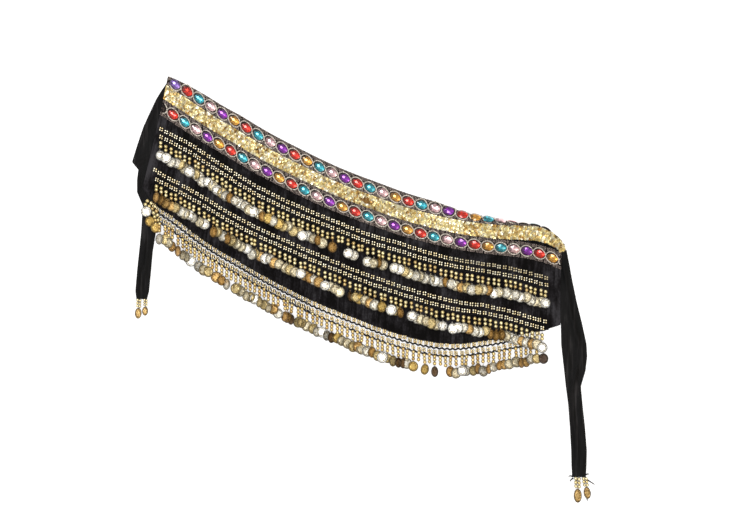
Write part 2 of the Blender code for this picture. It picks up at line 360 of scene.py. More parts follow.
TIE_MARGIN = 7.0
TIE_RUN = 15.0


def over_ties(x, y):
    """How much the ribbons lift what lies over them: their wall and a gap, eased off beside them."""
    reach = TIE_MARGIN + TIE_RUN
    left = ease((tie_edge(TIE_LEFT, y, "inner") + reach - x) / TIE_RUN)
    right = ease((x - tie_edge(TIE_RIGHT, y, "inner") + reach) / TIE_RUN)
    return (RIBBON + GAP) * np.maximum(left, right)


# %% [markdown]
# Cloth laid out by hand never lies dead flat. Its soft waves are placed one by one, in a table: where the
# middle of each is, which way it runs, how long, how wide and how high it is. Each is a smooth hill, long one
# way and narrow the other, and the hills are added up, so that any piece on the velvet rides over them too.

# %% Creases
# Each row: the middle's x and y, the heading in degrees, half the length, half the width, and the height.
VELVET_CREASES = (
    (-288.0, 128.0, 10.0, 26.0, 6.0, 1.1),
    (-246.0, 98.0, 13.0, 36.0, 9.0, 1.9),
    (-207.0, 72.0, 6.0, 24.0, 6.0, 1.0),
    (-163.0, 44.0, 11.0, 42.0, 10.0, 2.1),
    (-120.0, 20.0, 3.0, 28.0, 7.0, 1.3),
    (-71.0, -2.0, 9.0, 47.0, 11.0, 1.8),
    (-24.0, -17.0, -4.0, 33.0, 7.0, 1.3),
    (23.0, -33.0, 6.0, 40.0, 9.0, 2.2),
    (69.0, -49.0, -3.0, 27.0, 8.0, 1.2),
    (113.0, -57.0, 4.0, 36.0, 10.0, 1.7),
    (151.0, -57.0, -6.0, 24.0, 6.0, 1.0),
    (-150.0, 112.0, 9.0, 36.0, 9.0, 1.0),
    (40.0, 46.0, -5.0, 38.0, 10.0, 1.1),
    (215.0, 20.0, 3.0, 28.0, 8.0, 0.9),
    (291.5, 6.0, 2.0, 34.0, 4.0, 1.5),
    (290.0, -36.0, -10.0, 18.0, 4.5, 1.2),
)
LEFT_TIE_CREASES = (
    (-317.0, 258.0, 23.0, 38.0, 4.0, 1.5),
    (-330.0, 230.0, 21.0, 26.0, 3.0, 1.1),
    (-335.0, 191.0, 64.0, 13.0, 3.0, 2.2),
    (-334.0, 152.0, -3.0, 24.0, 2.6, 1.2),
    (-318.0, 84.0, 6.0, 24.0, 4.0, 1.3),
    (-324.0, 46.0, 6.0, 34.0, 3.6, 1.7),
    (-331.0, 14.0, 4.0, 22.0, 3.2, 2.0),
    (-325.0, -3.0, 12.0, 11.0, 2.6, 1.0),
)
RIGHT_TIE_CREASES = (
    (306.5, 10.0, -10.0, 32.0, 2.6, 1.4),
    (315.0, -44.0, -13.0, 38.0, 4.2, 2.1),
    (326.5, -88.0, -9.0, 24.0, 3.6, 1.5),
    (308.0, -96.0, -7.0, 34.0, 3.8, 1.3),
    (319.0, -128.0, 12.0, 20.0, 3.8, 2.0),
    (321.0, -146.0, 68.0, 9.0, 3.0, 1.3),
    (315.5, -182.0, -7.0, 34.0, 3.8, 1.7),
    (327.0, -196.0, -5.0, 28.0, 3.0, 1.2),
    (321.5, -238.0, -3.0, 32.0, 4.0, 1.9),
    (331.0, -262.0, 0.0, 14.0, 2.8, 1.2),
)


def creased(x, y, rows):
    """The height of all the creases at x, y. One alone is its height times
    exp(-(along / half_length)^4 - (across / half_width)^2)."""
    total = np.zeros(np.broadcast(x, y).shape)
    for at_x, at_y, heading, half_length, half_width, height in rows:
        turn = np.radians(heading)
        along = (x - at_x) * np.sin(turn) + (y - at_y) * np.cos(turn)
        across = (x - at_x) * np.cos(turn) - (y - at_y) * np.sin(turn)
        total += height * np.exp(-((along / half_length) ** 4) - (across / half_width) ** 2)
    return total


# %% The surface
ROLL_RADIUS = 6.0
RISE_RUN = 76.0


def roll_height(turn):
    """How far the middle of the wall is raised at the waist so that a roll of this turn clears the floor."""
    outer = ROLL_RADIUS + FACE + GAP + BRAID
    return ROLL_RADIUS * (1 - np.cos(np.minimum(turn, np.pi / 2))) + outer * np.maximum(-np.cos(turn), 0)


def middle(c, u, straight_from=None):
    """Points of the middle of the velvet's wall, for arrays of c and u of one shape.

    Above the jewel row the cloth runs flat and then turns back round a roll. Below it the cloth runs down
    its leaning column, or straight down past the drop straight_from, as threads hang.
    """
    step = 0.5
    slope = (station(c + step, "jewels") - station(c - step, "jewels")) / (2 * step)
    along = 1 / np.hypot(1, slope)
    lean_up = station(c, "lean_up")
    fold = station(c, "top") - station(c, "rolled")
    above = np.maximum(u, 0)
    drop = np.maximum(-u, 0)
    turn = np.maximum(above - fold, 0) / ROLL_RADIUS
    up = (np.minimum(above, fold) + ROLL_RADIUS * np.sin(turn)) / (along - lean_up * slope * along)
    leaning = drop if straight_from is None else np.minimum(drop, straight_from)
    x = c + lean_up * up - station(c, "lean_down") * leaning
    y = station(c, "jewels") + up - drop
    below_fold = np.maximum(fold - u, 0)
    raised = roll_height(station(c, "rolled") / ROLL_RADIUS) * ease(1 - below_fold / RISE_RUN)
    z = FACE + raised - ROLL_RADIUS * (1 - np.cos(turn)) + over_ties(x, y) + creased(x, y, VELVET_CREASES)
    return np.stack([x, y, z], axis=-1)


def surface(c, u, straight_from=None):
    """Points of the wall's middle with three unit vectors at each: along the row, up the column and off the
    face. The first two come from points a little way along each coordinate, the third is square to both."""
    c, u = np.broadcast_arrays(np.asarray(c, float), np.asarray(u, float))
    step = 0.4
    across = middle(c + step, u, straight_from) - middle(c - step, u, straight_from)
    upward = middle(c, u + step, straight_from) - middle(c, u - step, straight_from)
    off = unit(np.cross(across, upward))
    return middle(c, u, straight_from), unit(across), unit(upward), off


LINE_STEPS = 2400
PAST_ENDS = 12.0
ALL_COLUMNS = np.linspace(LEFT_END - PAST_ENDS, RIGHT_END + PAST_ENDS, LINE_STEPS)


def lengths_along(points):
    """How far along a line each of its points is, added up from the straight steps between them."""
    return np.concatenate([[0], np.cumsum(np.linalg.norm(np.diff(points, axis=0), axis=1))])


def columns_along(height, first_x, last_x, spacing):
    """The columns of places at an even spacing along a row whose height over the jewels is height(c). The
    places are read back from the length along the row."""
    points = middle(ALL_COLUMNS, height(ALL_COLUMNS))
    length = lengths_along(points)
    start, end = np.interp((first_x, last_x), points[:, 0], length)
    count = int((end - start) / spacing) + 1
    return np.interp(start + spacing * np.arange(count), length, ALL_COLUMNS)


def jewel_row(c):
    """The lower jewels' height over themselves, from which all others count."""
    return 0 * c


on_cloth = np.linspace(LEFT_END, RIGHT_END, LINE_STEPS)
row_length = lengths_along(middle(on_cloth, jewel_row(on_cloth)))[-1]
print("lower jewel row from end to end:", round(row_length), "mm")

# %% [markdown]
# ## From arrays to meshes
#
# A shape here is a set of points, its faces, a pattern place for each point and a tint for each point. Small
# things are made once and then copied by one multiplication: every copy has an origin and three axes, and
# the copies are joined as they are made. Blender reads the arrays with foreach_set, which is quick.

# %% Shapes
class Shape:
    """Points, and faces as arrays with one row for each face of the same number of corners."""

    def __init__(self, points, groups, pattern=None, tint=None):
        self.points = points
        self.groups = groups
        self.pattern = np.zeros((len(points), 2)) if pattern is None else pattern
        self.tint = np.ones((len(points), 3)) if tint is None else tint


def together(*shapes):
    """Several shapes as one."""
    starts = np.cumsum([0] + [len(shape.points) for shape in shapes])
    groups = [group + start for shape, start in zip(shapes, starts) for group in shape.groups]
    return Shape(
        np.concatenate([shape.points for shape in shapes]),
        groups,
        np.concatenate([shape.pattern for shape in shapes]),
        np.concatenate([shape.tint for shape in shapes]),
    )


def copies(shape, origins, axes, tint=None):
    """A copy of the shape at each origin. axes has the copy's three axes as rows, and tint its colour."""
    count, size = len(origins), len(shape.points)
    points = origins[:, None, :] + np.einsum("pk,nkj->npj", shape.points, axes)
    starts = np.arange(count) * size
    groups = [(group[None] + starts[:, None, None]).reshape(-1, group.shape[1]) for group in shape.groups]
    tints = np.tile(shape.tint, (count, 1))
    if tint is not None:
        tints = tints * np.repeat(tint, size, axis=0)
    return Shape(points.reshape(-1, 3), groups, np.tile(shape.pattern, (count, 1)), tints)


OFF_FLOOR = 0.1
EAST, NORTH, UP = np.eye(3)


def clear_of_floor(shape, origins, axes):
    """The origins, raised wherever a copy would reach nearer to the floor than OFF_FLOOR."""
    lowest = origins[:, 2] + np.einsum("pk,nkj->npj", shape.points, axes)[:, :, 2].min(axis=1)
    return origins + np.maximum(OFF_FLOOR - lowest, 0)[:, None] * UP


def turned(axes, about, angle):
    """Axes turned about one direction for each copy, by an angle in radians: the part of each axis along the
    direction stays, and the rest turns."""
    cos, sin = np.cos(angle)[:, None, None], np.sin(angle)[:, None, None]
    about = np.broadcast_to(about[:, None, :], axes.shape)
    stays = about * np.sum(about * axes, axis=-1, keepdims=True)
    return axes * cos + np.cross(about, axes) * sin + stays * (1 - cos)


def ring_faces(rings, sides):
    """The faces of a closed body built of rings of points: quads from ring to ring, then one face over the
    first ring and one over the last."""
    index = np.arange(rings * sides).reshape(rings, sides)
    after = np.roll(index, -1, axis=1)
    corners = (index[:-1], after[:-1], after[1:], index[1:])
    quads = np.stack([corner.ravel() for corner in corners], axis=1)
    return [quads, index[:1, ::-1], index[-1:]]


def revolved(profile, sides, squeeze=1.0):
    """A closed body turned about Z. profile has rows of (radius, height) from the bottom up; squeeze narrows
    it along Y, which makes an oval."""
    profile = np.array(profile, float)
    angle = np.arange(sides) / sides * 2 * np.pi
    ring = np.stack([np.cos(angle), squeeze * np.sin(angle)], axis=1)
    flat = profile[:, 0][:, None, None] * ring[None]
    height = np.broadcast_to(profile[:, 1][:, None, None], flat.shape[:2] + (1,))
    points = np.concatenate([flat, height], axis=2).reshape(-1, 3)
    return Shape(points, ring_faces(len(profile), sides), points[:, :2] / profile[:, 0].max())


def tube(path, radius, up, sides=6):
    """A round cord along a path of points. up is a direction for each point, square to the path or nearly so.

    Each ring is the path's point plus the radius times side*cos(angle) + up*sin(angle). The pattern runs
    along the cord, and across it by the cosine, which has no seam.
    """
    ahead = unit(np.gradient(path, axis=0))
    side = unit(np.cross(up, ahead))
    over = np.cross(ahead, side)
    angle = (np.arange(sides) / sides * 2 * np.pi)[None, :, None]
    radius = np.broadcast_to(radius, len(path))[:, None, None]
    rings = path[:, None] + radius * (side[:, None] * np.cos(angle) + over[:, None] * np.sin(angle))
    across = radius[:, :, 0] * np.cos(angle[..., 0])
    length = np.broadcast_to(lengths_along(path)[:, None], across.shape)
    pattern = np.stack([length, across], axis=-1) * MM
    return Shape(rings.reshape(-1, 3), ring_faces(len(path), sides), pattern.reshape(-1, 2))


def shell(lower, upper, pattern):
    """A closed sheet between two grids: a face on top, a face below and a wall round the edge. The grids'
    first index runs across to +X and the second up to +Y."""
    across, along = lower.shape[:2]
    index = np.arange(across * along).reshape(across, along)
    corners = (index[:-1, :-1], index[1:, :-1], index[1:, 1:], index[:-1, 1:])
    bottom = np.stack([corner.ravel() for corner in corners[::-1]], axis=1)
    top = bottom[:, ::-1] + across * along
    rim = np.concatenate([index[:, 0], index[-1, 1:], index[-2::-1, -1], index[0, -2:0:-1]])
    after = np.roll(rim, -1)
    side = np.stack([rim, after, after + across * along, rim + across * along], axis=1)
    points = np.concatenate([lower.reshape(-1, 3), upper.reshape(-1, 3)])
    return Shape(points, [top, bottom, side], np.tile(pattern.reshape(-1, 2) * MM, (2, 1)))


def volume(shape):
    """The volume inside closed shapes, in cubic millimetres: above zero when the faces point outwards."""
    total = 0.0
    for group in shape.groups:
        first = shape.points[group[:, 0]]
        for k in range(1, group.shape[1] - 1):
            second, third = shape.points[group[:, k]], shape.points[group[:, k + 1]]
            total += np.einsum("ij,ij->", first, np.cross(second, third)) / 6
    return total


def piece(name, shape, finish, stands_for=(), crisp=50.0):
    """Makes the object from a shape, hangs it on the frame's root and hides the imported parts that it stands
    for.
    Edges that turn by more than crisp degrees are shaded sharp."""
    loops = np.concatenate([group.ravel() for group in shape.groups])
    sizes = np.concatenate([np.full(len(group), group.shape[1]) for group in shape.groups])
    mesh = bpy.data.meshes.new(name)
    mesh.vertices.add(len(shape.points))
    mesh.vertices.foreach_set("co", ((shape.points - CENTRE) * MM).astype(np.float32).ravel())
    mesh.loops.add(len(loops))
    mesh.loops.foreach_set("vertex_index", loops.astype(np.int32))
    mesh.polygons.add(len(sizes))
    mesh.polygons.foreach_set("loop_start", (np.cumsum(sizes) - sizes).astype(np.int32))
    mesh.update(calc_edges=True)
    chart = mesh.uv_layers.new(name="pattern")
    chart.uv.foreach_set("vector", shape.pattern[loops].astype(np.float32).ravel())
    tint = mesh.color_attributes.new("tint", "FLOAT_COLOR", "POINT")
    opaque = np.concatenate([shape.tint, np.ones((len(shape.points), 1))], axis=1)
    tint.data.foreach_set("color", opaque.astype(np.float32).ravel())
    mesh.shade_smooth()
    mesh.set_sharp_from_angle(angle=np.radians(crisp))
    mesh.materials.append(finish)
    made = bpy.data.objects.new(name, mesh)
    bpy.context.scene.collection.objects.link(made)
    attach(made, "root")
    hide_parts(*stands_for)
    low, high = shape.points[:, 2].min(), shape.points[:, 2].max()
    triangles = int((sizes - 2).sum())
    print(f"{name}: {triangles} triangles, {volume(shape):.0f} cubic mm, {low:.1f} to {high:.1f} mm high")
    return made


# %% [markdown]
# ## Velvet
#
# Velvet is a pile of short upright threads. Seen from above it is nearly black, it lightens where the pile
# leans, and at a shallow angle the tips catch the light. The Principled shader's sheen does the last part, and
# the colour paints the rest: a stretched noise gives the long streaks that hands leave down the pile, and a
# wider one the lighter patches, both lighter as painted sheen. Both ends, past the last beads, have been
# brushed the other way, and their lighter colour is painted sheen too.

# %% The velvet's finish
MARGIN = (0.284, 0.294)
# How much lighter the margins are: painted sheen.
MARGIN_PAINTED_SHEEN = 0.09


def velvet_finish():
    """Black pile, with painted sheen in its colour: lighter streaks, patches and margins. The margins start at
    a distance from the wrap's middle, which MARGIN gives in metres.
    """
    made = finish_of("velvet_black", {
        "Roughness": 0.95,
        "Specular IOR Level": 0.08,
        "Sheen Weight": 0.08,
        "Sheen Roughness": 0.35,
        "Sheen Tint": (0.60, 0.60, 0.68, 1),
    })
    streaks = noise(made, pattern_place(made, 230, 22), 4.0, 0.6)
    patches = noise(made, pattern_place(made, 38, 30), 2.0)
    nap = sums(made, "MULTIPLY", streaks, patches)
    specks = noise(made, pattern_place(made, 420, 260), 3.0, 0.65)
    column = node(made, "SeparateXYZ", {0: pattern_place(made)}).outputs["X"]
    wrap_middle = (LEFT_END + RIGHT_END) / 2 * MM
    from_middle = sums(made, "ABSOLUTE", sums(made, "SUBTRACT", column, wrap_middle))
    span = {0: from_middle, 1: MARGIN[0], 2: MARGIN[1], 3: 0.0, 4: MARGIN_PAINTED_SHEEN}
    margin = node(made, "MapRange", span).outputs[0]
    shown = sums(made, "ADD", sums(made, "MULTIPLY_ADD", specks, 0.30, nap), margin)
    # The lit end of this ramp is painted sheen of the leaning pile.
    deep, black, lit = (0.0035, 0.0030, 0.0030), (0.0110, 0.0098, 0.0108), (0.042, 0.040, 0.044)
    shade(made, "Base Color", ramped(made, shown, (0.33, deep), (0.42, black), (0.60, lit)))
    pile = noise(made, pattern_place(made, 1500), 3.0)
    bumped(made, sums(made, "ADD", sums(made, "MULTIPLY", pile, 0.6), nap), 0.9)
    return made


# %% The wrap
VELVET_WALL = 1.5
VELVET_COLUMNS = 261
VELVET_ROWS = 111

c = np.linspace(LEFT_END, RIGHT_END, VELVET_COLUMNS)[:, None]
share = np.linspace(0, 1, VELVET_ROWS)[None, :]
u = -station(c, "hem") + (station(c, "hem") + station(c, "top")) * share
points, _, _, off = surface(c, u)
chart = np.stack([np.broadcast_to(c, u.shape), u], axis=-1)
wrap = shell(points - off * VELVET_WALL / 2, points + off * VELVET_WALL / 2, chart)
velvet = piece("velvet", wrap, velvet_finish(), ["velvet_panel"])

# %% [markdown]
# ## Ribbon ties
#
# The ties are satin-faced ribbon. Satin floats its threads along the ribbon, so it shines more than velvet
# and its light runs lengthwise in streaks, which are painted into the colour as painted sheen. Each tie is a
# grid between its two edges, lifted by its own table of creases: the long soft folds of a ribbon that was
# pulled straight and let go.

# %% The ribbon's finish
def ribbon_finish():
    """Black satin: painted sheen in streaks along the ribbon, and fine threads across it in the bump."""
    made = finish_of("ribbon_satin", {
        "Specular IOR Level": 0.12,
        "Sheen Weight": 0.05,
        "Sheen Roughness": 0.4,
        "Sheen Tint": (0.7, 0.7, 0.8, 1),
    })
    streaks = noise(made, pattern_place(made, 210, 15), 4.0, 0.6)
    # The lit streaks in the colour are painted sheen.
    deep, black, lit = (0.0006, 0.0005, 0.0005), (0.0036, 0.0032, 0.0032), (0.028, 0.026, 0.026)
    shade(made, "Base Color", ramped(made, streaks, (0.38, deep), (0.54, black), (0.74, lit)))
    shade(made, "Roughness", sums(made, "MULTIPLY_ADD", streaks, 0.3, 0.38))
    threads = stripes(made, pattern_place(made), 350.0, 0.6, "Y")
    bumped(made, sums(made, "ADD", sums(made, "MULTIPLY", threads, 0.3), streaks), 0.35)
    return made


# %% Both ribbons
RIBBON_WALL = 0.9
RIBBON_REST = 0.7
RIBBON_COLUMNS = 33
RIBBON_ROWS = 181
SELVEDGE = 0.25
SELVEDGE_SHARE = 0.05

satin = ribbon_finish()


def ribbon(name, rows, creases, node_name):
    """A tie: the grid runs across between the table's edges and along its Y. It thickens at both edges,
    where the ribbon is woven back on itself, and rides over its creases."""
    heights = column_of(rows, TIE_NAMES, "y")
    y = np.linspace(heights.min(), heights.max(), RIBBON_ROWS)[None, :]
    edges = sorted((tie_edge(rows, y, edge) for edge in ("outer", "inner")), key=np.mean)
    share = np.linspace(0, 1, RIBBON_COLUMNS)[:, None]
    x = edges[0] + (edges[1] - edges[0]) * share
    y = np.broadcast_to(y, x.shape)
    selvedge = SELVEDGE * np.exp(-(((0.5 - np.abs(share - 0.5)) / SELVEDGE_SHARE) ** 2))
    rest = np.stack([x, y, RIBBON_REST + creased(x, y, creases)], axis=-1)
    wall = (RIBBON_WALL / 2 + selvedge)[..., None] * UP
    chart = np.stack([x, y], axis=-1)
    return piece(name, shell(rest - wall, rest + wall, chart), satin, [node_name])


ribbon_left = ribbon("ribbon_left", TIE_LEFT, LEFT_TIE_CREASES, "tie_left")
ribbon_right = ribbon("ribbon_right", TIE_RIGHT, RIGHT_TIE_CREASES, "tie_right")

# %% [markdown]
# ## The braids
#
# Each braid is a narrow strip woven of black and silver thread, with a wavy silver cord along both edges. A
# strip that follows the velvet is a grid a little above its face. The weave is too fine for a mesh, so it is
# in the material: two sets of slanting threads, mottled by noise as tarnished metal thread is.

# %% The braid's finish
def braid_finish():
    """Two sets of slanting threads, dark but for the spots where the silver shows."""
    made = finish_of("braid_weave", {"Roughness": 0.6, "Metallic": 0.1, "Specular IOR Level": 0.2})
    slanted = pattern_place(made, turn=0.8)
    weave = sums(made, "MAXIMUM", *[stripes(made, slanted, 190.0, 1.5, way) for way in ("X", "Y")])
    mottle = noise(made, pattern_place(made, 360), 3.0, 0.7)
    light = sums(made, "MULTIPLY", weave, mottle)
    black, grey, silver = (0.003, 0.0022, 0.0020), (0.013, 0.009, 0.008), (0.26, 0.19, 0.16)
    shade(made, "Base Color", ramped(made, light, (0.36, black), (0.50, grey), (0.60, silver)))
    bumped(made, sums(made, "ADD", weave, mottle), 0.5)
    return made


PLY_SCALE = 900.0 / 6.28


def cord_finish(name, dark, light, metallic, roughness, dark_until=0.1, light_from=0.4):
    """A twisted cord: its ply is a wave that slants across the cord, and it is worn in spots. Below
    dark_until of the two together it is dark, and above light_from it is light."""
    made = finish_of(name, {"Roughness": roughness, "Metallic": metallic, "Specular IOR Level": 0.25})
    ply = stripes(made, pattern_place(made, turn=0.7), PLY_SCALE)
    spots = noise(made, pattern_place(made, 290), 2.0)
    worn = sums(made, "MULTIPLY", sums(made, "MULTIPLY_ADD", ply, 0.35, 0.65), spots)
    shade(made, "Base Color", ramped(made, worn, (dark_until, dark), (light_from, light)))
    bumped(made, ply, 0.35)
    return made


braid_weave = braid_finish()
silver_cord = cord_finish("silver_cord", (0.13, 0.10, 0.08), (0.82, 0.75, 0.65), 0.2, 0.4, 0.28, 0.41)
grey_cord = cord_finish("grey_cord", (0.006, 0.0045, 0.004), (0.43, 0.35, 0.31), 0.1, 0.5, 0.40, 0.46)
black_thread = cord_finish("black_thread", (0.0015, 0.0015, 0.002), (0.010, 0.009, 0.010), 0.0, 0.8)

# %% The braids' strips
BRAID_FOOT = 11.2
BRAID_HEAD = 11.7
SEQUIN_WIDTH = 19.2
STRIP_COLUMNS = 420
STRIP_LOW = FACE + 0.1
STRIP_HIGH = FACE + 1.6
STRIP_EDGE = 0.6


# Both edges of both strips, by their height over the jewel row.
def lower_foot(c):
    return 0 * c - BRAID_FOOT


def lower_head(c):
    return 0 * c + BRAID_HEAD


def upper_foot(c):
    return station(c, "sequins") + SEQUIN_WIDTH + GAP


def waist_edge(c):
    return station(c, "top")


def strip(low_edge, high_edge, low, high, rows=13):
    """A strip on the velvet between two heights over the jewel row. Its face swells from STRIP_EDGE of its
    thickness at both edges to the whole of it along the middle."""
    c = np.linspace(LEFT_END, RIGHT_END, STRIP_COLUMNS)[:, None]
    share = np.linspace(0, 1, rows)[None, :]
    start, end = low_edge(c), high_edge(c)
    u = start + (end - start) * share
    points, _, _, off = surface(c, u)
    swell = (1 - (2 * share - 1) ** 4)[..., None]
    thick = (high - low) * (STRIP_EDGE + (1 - STRIP_EDGE) * swell)
    along = np.broadcast_to(lengths_along(points[:, 0])[:, None], u.shape)
    return shell(points + off * low, points + off * (low + thick), np.stack([along, u], axis=-1))


for side, foot, head in (("lower", lower_foot, lower_head), ("upper", upper_foot, waist_edge)):
    shape = strip(foot, head, STRIP_LOW, STRIP_HIGH)
    piece("braid_" + side, shape, braid_weave, ["jewel_braid_" + side])

# %% [markdown]
# The edging is a cord laid in small waves: its path is the strip's edge plus a sine across it. A second cord
# waves the other way, so that the two cross as gimp does, and another such pair runs a little further in.

# %% The edging
EDGE_INSET = 1.1
INNER_INSET = 3.6
WAVE_LENGTH = 4.7
WAVE_HEIGHT = 1.15
WAVE_LIFT = 0.25
EDGING_LIFT = STRIP_HIGH + 0.1
CORD_THIN = 0.5


def steady(height):
    """A lift that is the same all along a cord."""
    return lambda c, s: height + 0 * s


def cord_along(height, lift, radius, first=LEFT_END, last=RIGHT_END, step=0.9, sides=5):
    """A cord on the velvet. height(c, s) and lift(c, s) say where it runs, with s the length along."""
    c = np.linspace(first, last, int((last - first) / step))
    s = lengths_along(middle(c, height(c, 0 * c)))
    points, _, _, off = surface(c, height(c, s))
    return tube(points + off * lift(c, s)[:, None], radius, off, sides)


def edging(edge, inset):
    """Two cords that wave across one edge of a braid, half a wave apart."""
    cords = []
    for phase in (0.0, np.pi):
        def height(c, s, phase=phase):
            return edge(c) + inset + WAVE_HEIGHT * np.sin(2 * np.pi * s / WAVE_LENGTH + phase)

        def lift(c, s, phase=phase):
            return EDGING_LIFT + WAVE_LIFT * np.cos(2 * np.pi * s / WAVE_LENGTH + phase)

        cords.append(cord_along(height, lift, CORD_THIN))
    return together(*cords)


edges = together(*[
    edging(edge, side * inset)
    for edge, side in ((lower_foot, 1), (lower_head, -1), (upper_foot, 1), (waist_edge, -1))
    for inset in (EDGE_INSET, INNER_INSET)
])
piece("braid_edging", edges, grey_cord)

# %% [markdown]
# ## Jewels
#
# The jewels are foil-backed ovals with a flat table and a ring of facets. A few facets with hard edges do
# more than a smooth dome, because each sends back a different part of the room. Every facet also has a painted
# brightness of its own, a painted sparkle, which grows lighter towards the end away from the table, and the
# table is a painted highlight.

# %% Where the jewels are
# A letter for each jewel from the left: red, turquoise, pink (k), purple, amber, and one of lilac. The marks
# are a jewel's number and its X. The nine lengths shift the upper row where the braid rolls or ends: how
# far, from which column, and over what run.
LOWER_COLOURS = "rtkpa" * 4 + "rtkpratkpra"
LOWER_MARKS = ((1, -283.3), (6, -196.9), (12, -87.0), (17, 8.8), (22, 107.6), (26, 188.0), (31, 284.3))
UPPER_COLOURS = "lrtkpartkpratkprtkartkpratkratkp"
UPPER_MARKS = ((1, -280.2), (8, -155.8), (14, -45.2), (20, 69.2), (25, 168.7), (28, 224.0), (32, 290.0))
UPPER_ROW = 41.2
ROLLED_AWAY, ROLLED_FROM, ROLLED_RUN = 3.5, 200.0, 40.0
SUNK_DEPTH, SUNK_FROM, SUNK_RUN = 3.2, 125.0, 40.0
CUT_SHORT, CUT_FROM, CUT_RUN = 1.8, -268.0, 25.0
JEWEL_TINTS = {
    "r": (0.86, 0.022, 0.003),
    "t": (0.035, 0.44, 0.56),
    "k": (1.0, 0.64, 0.68),
    "p": (0.27, 0.016, 0.45),
    "a": (0.84, 0.41, 0.05),
    "l": (0.30, 0.17, 0.62),
}


def upper_row(c):
    """The upper jewels' height over the lower ones. Round the roll they sit a little further up, and at the
    left end, where the braid was cut short, a little lower."""
    away = ROLLED_AWAY * ease((c - ROLLED_FROM) / ROLLED_RUN)
    return UPPER_ROW + away - CUT_SHORT * ease((CUT_FROM - c) / CUT_RUN)


def marked_row(height, marks, numbers):
    """The columns of jewels by number, evenly spaced between those whose X was measured. Numbers may have
    a fraction, for a cord that runs from jewel to jewel."""
    counted, places = np.array(marks, float).T
    known = np.interp(places, middle(ALL_COLUMNS, height(ALL_COLUMNS))[:, 0], ALL_COLUMNS)
    return smooth_between(np.asarray(numbers, float), counted, known)


lower_c = marked_row(jewel_row, LOWER_MARKS, np.arange(len(LOWER_COLOURS)) + 1)
upper_c = marked_row(upper_row, UPPER_MARKS, np.arange(len(UPPER_COLOURS)) + 1)
jewel_c = np.concatenate([lower_c, upper_c])
sunk = SUNK_DEPTH * ease((upper_c - SUNK_FROM) / SUNK_RUN)
jewel_u = np.concatenate([jewel_row(lower_c), upper_row(upper_c) - sunk])
jewel_tint = np.array([JEWEL_TINTS[letter] for letter in LOWER_COLOURS + UPPER_COLOURS])
print("jewels:", len(jewel_c))

# %% The cut of a jewel
JEWEL_LENGTH = 17.3
JEWEL_WIDTH = 13.3
JEWEL_CROWN = 2.6
JEWEL_SIDES = 14
JEWEL_RINGS = ((1.0, 0.0, 0.0), (0.74, 0.60, 0.5), (0.24, 1.0, 0.0))
TABLE_OFF = (-1.7, 0.7)
# The brightness of the table and the facets below is painted light.
PAINTED_TABLE_HIGHLIGHT = 1.3
PAINTED_FACET_SPARKLE = (0.6, 1.0, 1.4)
PAINTED_LIGHT_MEAN = 0.66
PAINTED_LIGHT_SLOPE = 0.46


def cut_jewel():
    """An oval with rings of points at the girdle, half way up the crown and round a small table, which lies a
    little off the middle. A row of JEWEL_RINGS is a ring's size, its height and its turn in steps. The middle
    one is turned by half a step, so the faces between two rings are triangles: an edge of one ring and a
    point of the other. Each face keeps its own points, for a tint of its own, and the tint is painted light:
    a painted sparkle on each facet, darker towards the table's end and lighter towards the far end, and a
    painted highlight on the table."""
    n = JEWEL_SIDES
    rings = []
    for scale, height, turn in JEWEL_RINGS:
        angle = (np.arange(n) + turn) / n * 2 * np.pi
        x = JEWEL_LENGTH / 2 * scale * np.cos(angle) + TABLE_OFF[0] * height
        y = JEWEL_WIDTH / 2 * scale * np.sin(angle) + TABLE_OFF[1] * height
        rings.append(np.stack([x, y, np.full(n, height * JEWEL_CROWN)], axis=1))
    points = np.concatenate(rings)
    here, after = np.arange(n), (np.arange(n) + 1) % n
    sides = np.concatenate([
        np.stack([here, after, here + n], axis=1),
        np.stack([after, after + n, here + n], axis=1),
        np.stack([here + n, after + 2 * n, here + 2 * n], axis=1),
        np.stack([here + n, after + n, after + 2 * n], axis=1),
    ])
    table, back = here + 2 * n, here[::-1]
    order = np.concatenate([sides.ravel(), table, back])
    triangles, ovals = np.split(np.arange(len(order)), [sides.size])
    groups = [triangles.reshape(-1, 3), *ovals.reshape(2, 1, n)]
    random = np.random.default_rng(5)
    centre = points[sides].mean(axis=1)
    # Painted light: facets darken towards the table's end and lighten away from it, each has a random painted
    # sparkle, and the table and back a painted highlight.
    across = centre[:, 0] / JEWEL_LENGTH * 2 - 0.8 * centre[:, 1] / JEWEL_WIDTH
    away = PAINTED_LIGHT_MEAN + PAINTED_LIGHT_SLOPE * np.clip(across, -0.7, 1)
    facet = np.repeat(away * random.choice(PAINTED_FACET_SPARKLE, len(sides)), 3)
    glow = np.concatenate([facet, np.full(2 * n, PAINTED_TABLE_HIGHLIGHT)])
    return Shape(points[order], groups, points[order][:, :2] * MM, np.repeat(glow[:, None], 3, axis=1))


def jewel_finish():
    """Foil in each jewel's own tint under a clear hard coat, with painted sparkle: noise patches darker than
    the tint and patches lighter than it.
    """
    made = finish_of("jewel_foil", {
        "Metallic": 0.65,
        "Roughness": 0.22,
        "Coat Weight": 1.0,
        "Coat IOR": 1.6,
        "Coat Roughness": 0.02,
    })
    foil = noise(made, pattern_place(made, 260), 1.0)
    # The patches above 1 are painted sparkle.
    bright = ramped(made, foil, (0.35, (0.5, 0.5, 0.5)), (0.62, (1.25, 1.2, 1.15)))
    shade(made, "Base Color", tinted(made, bright))
    return made


# %% The jewels in their places
SETTING_HIGH = STRIP_HIGH + 0.7
JEWEL_TURN = 0.06
JEWEL_TILT = 0.03

points, across, _, off = surface(jewel_c, jewel_u)
random = np.random.default_rng(11)
axes = np.stack([across, unit(np.cross(off, across)), off], axis=1)
axes = turned(axes, off, random.normal(0, JEWEL_TURN, len(jewel_c)))
axes = turned(axes, axes[:, 1], random.normal(0, JEWEL_TILT, len(jewel_c)))
jewel = cut_jewel()
places = clear_of_floor(jewel, points + off * SETTING_HIGH, axes)
piece("jewels", copies(jewel, places, axes, jewel_tint), jewel_finish(), crisp=1.0)
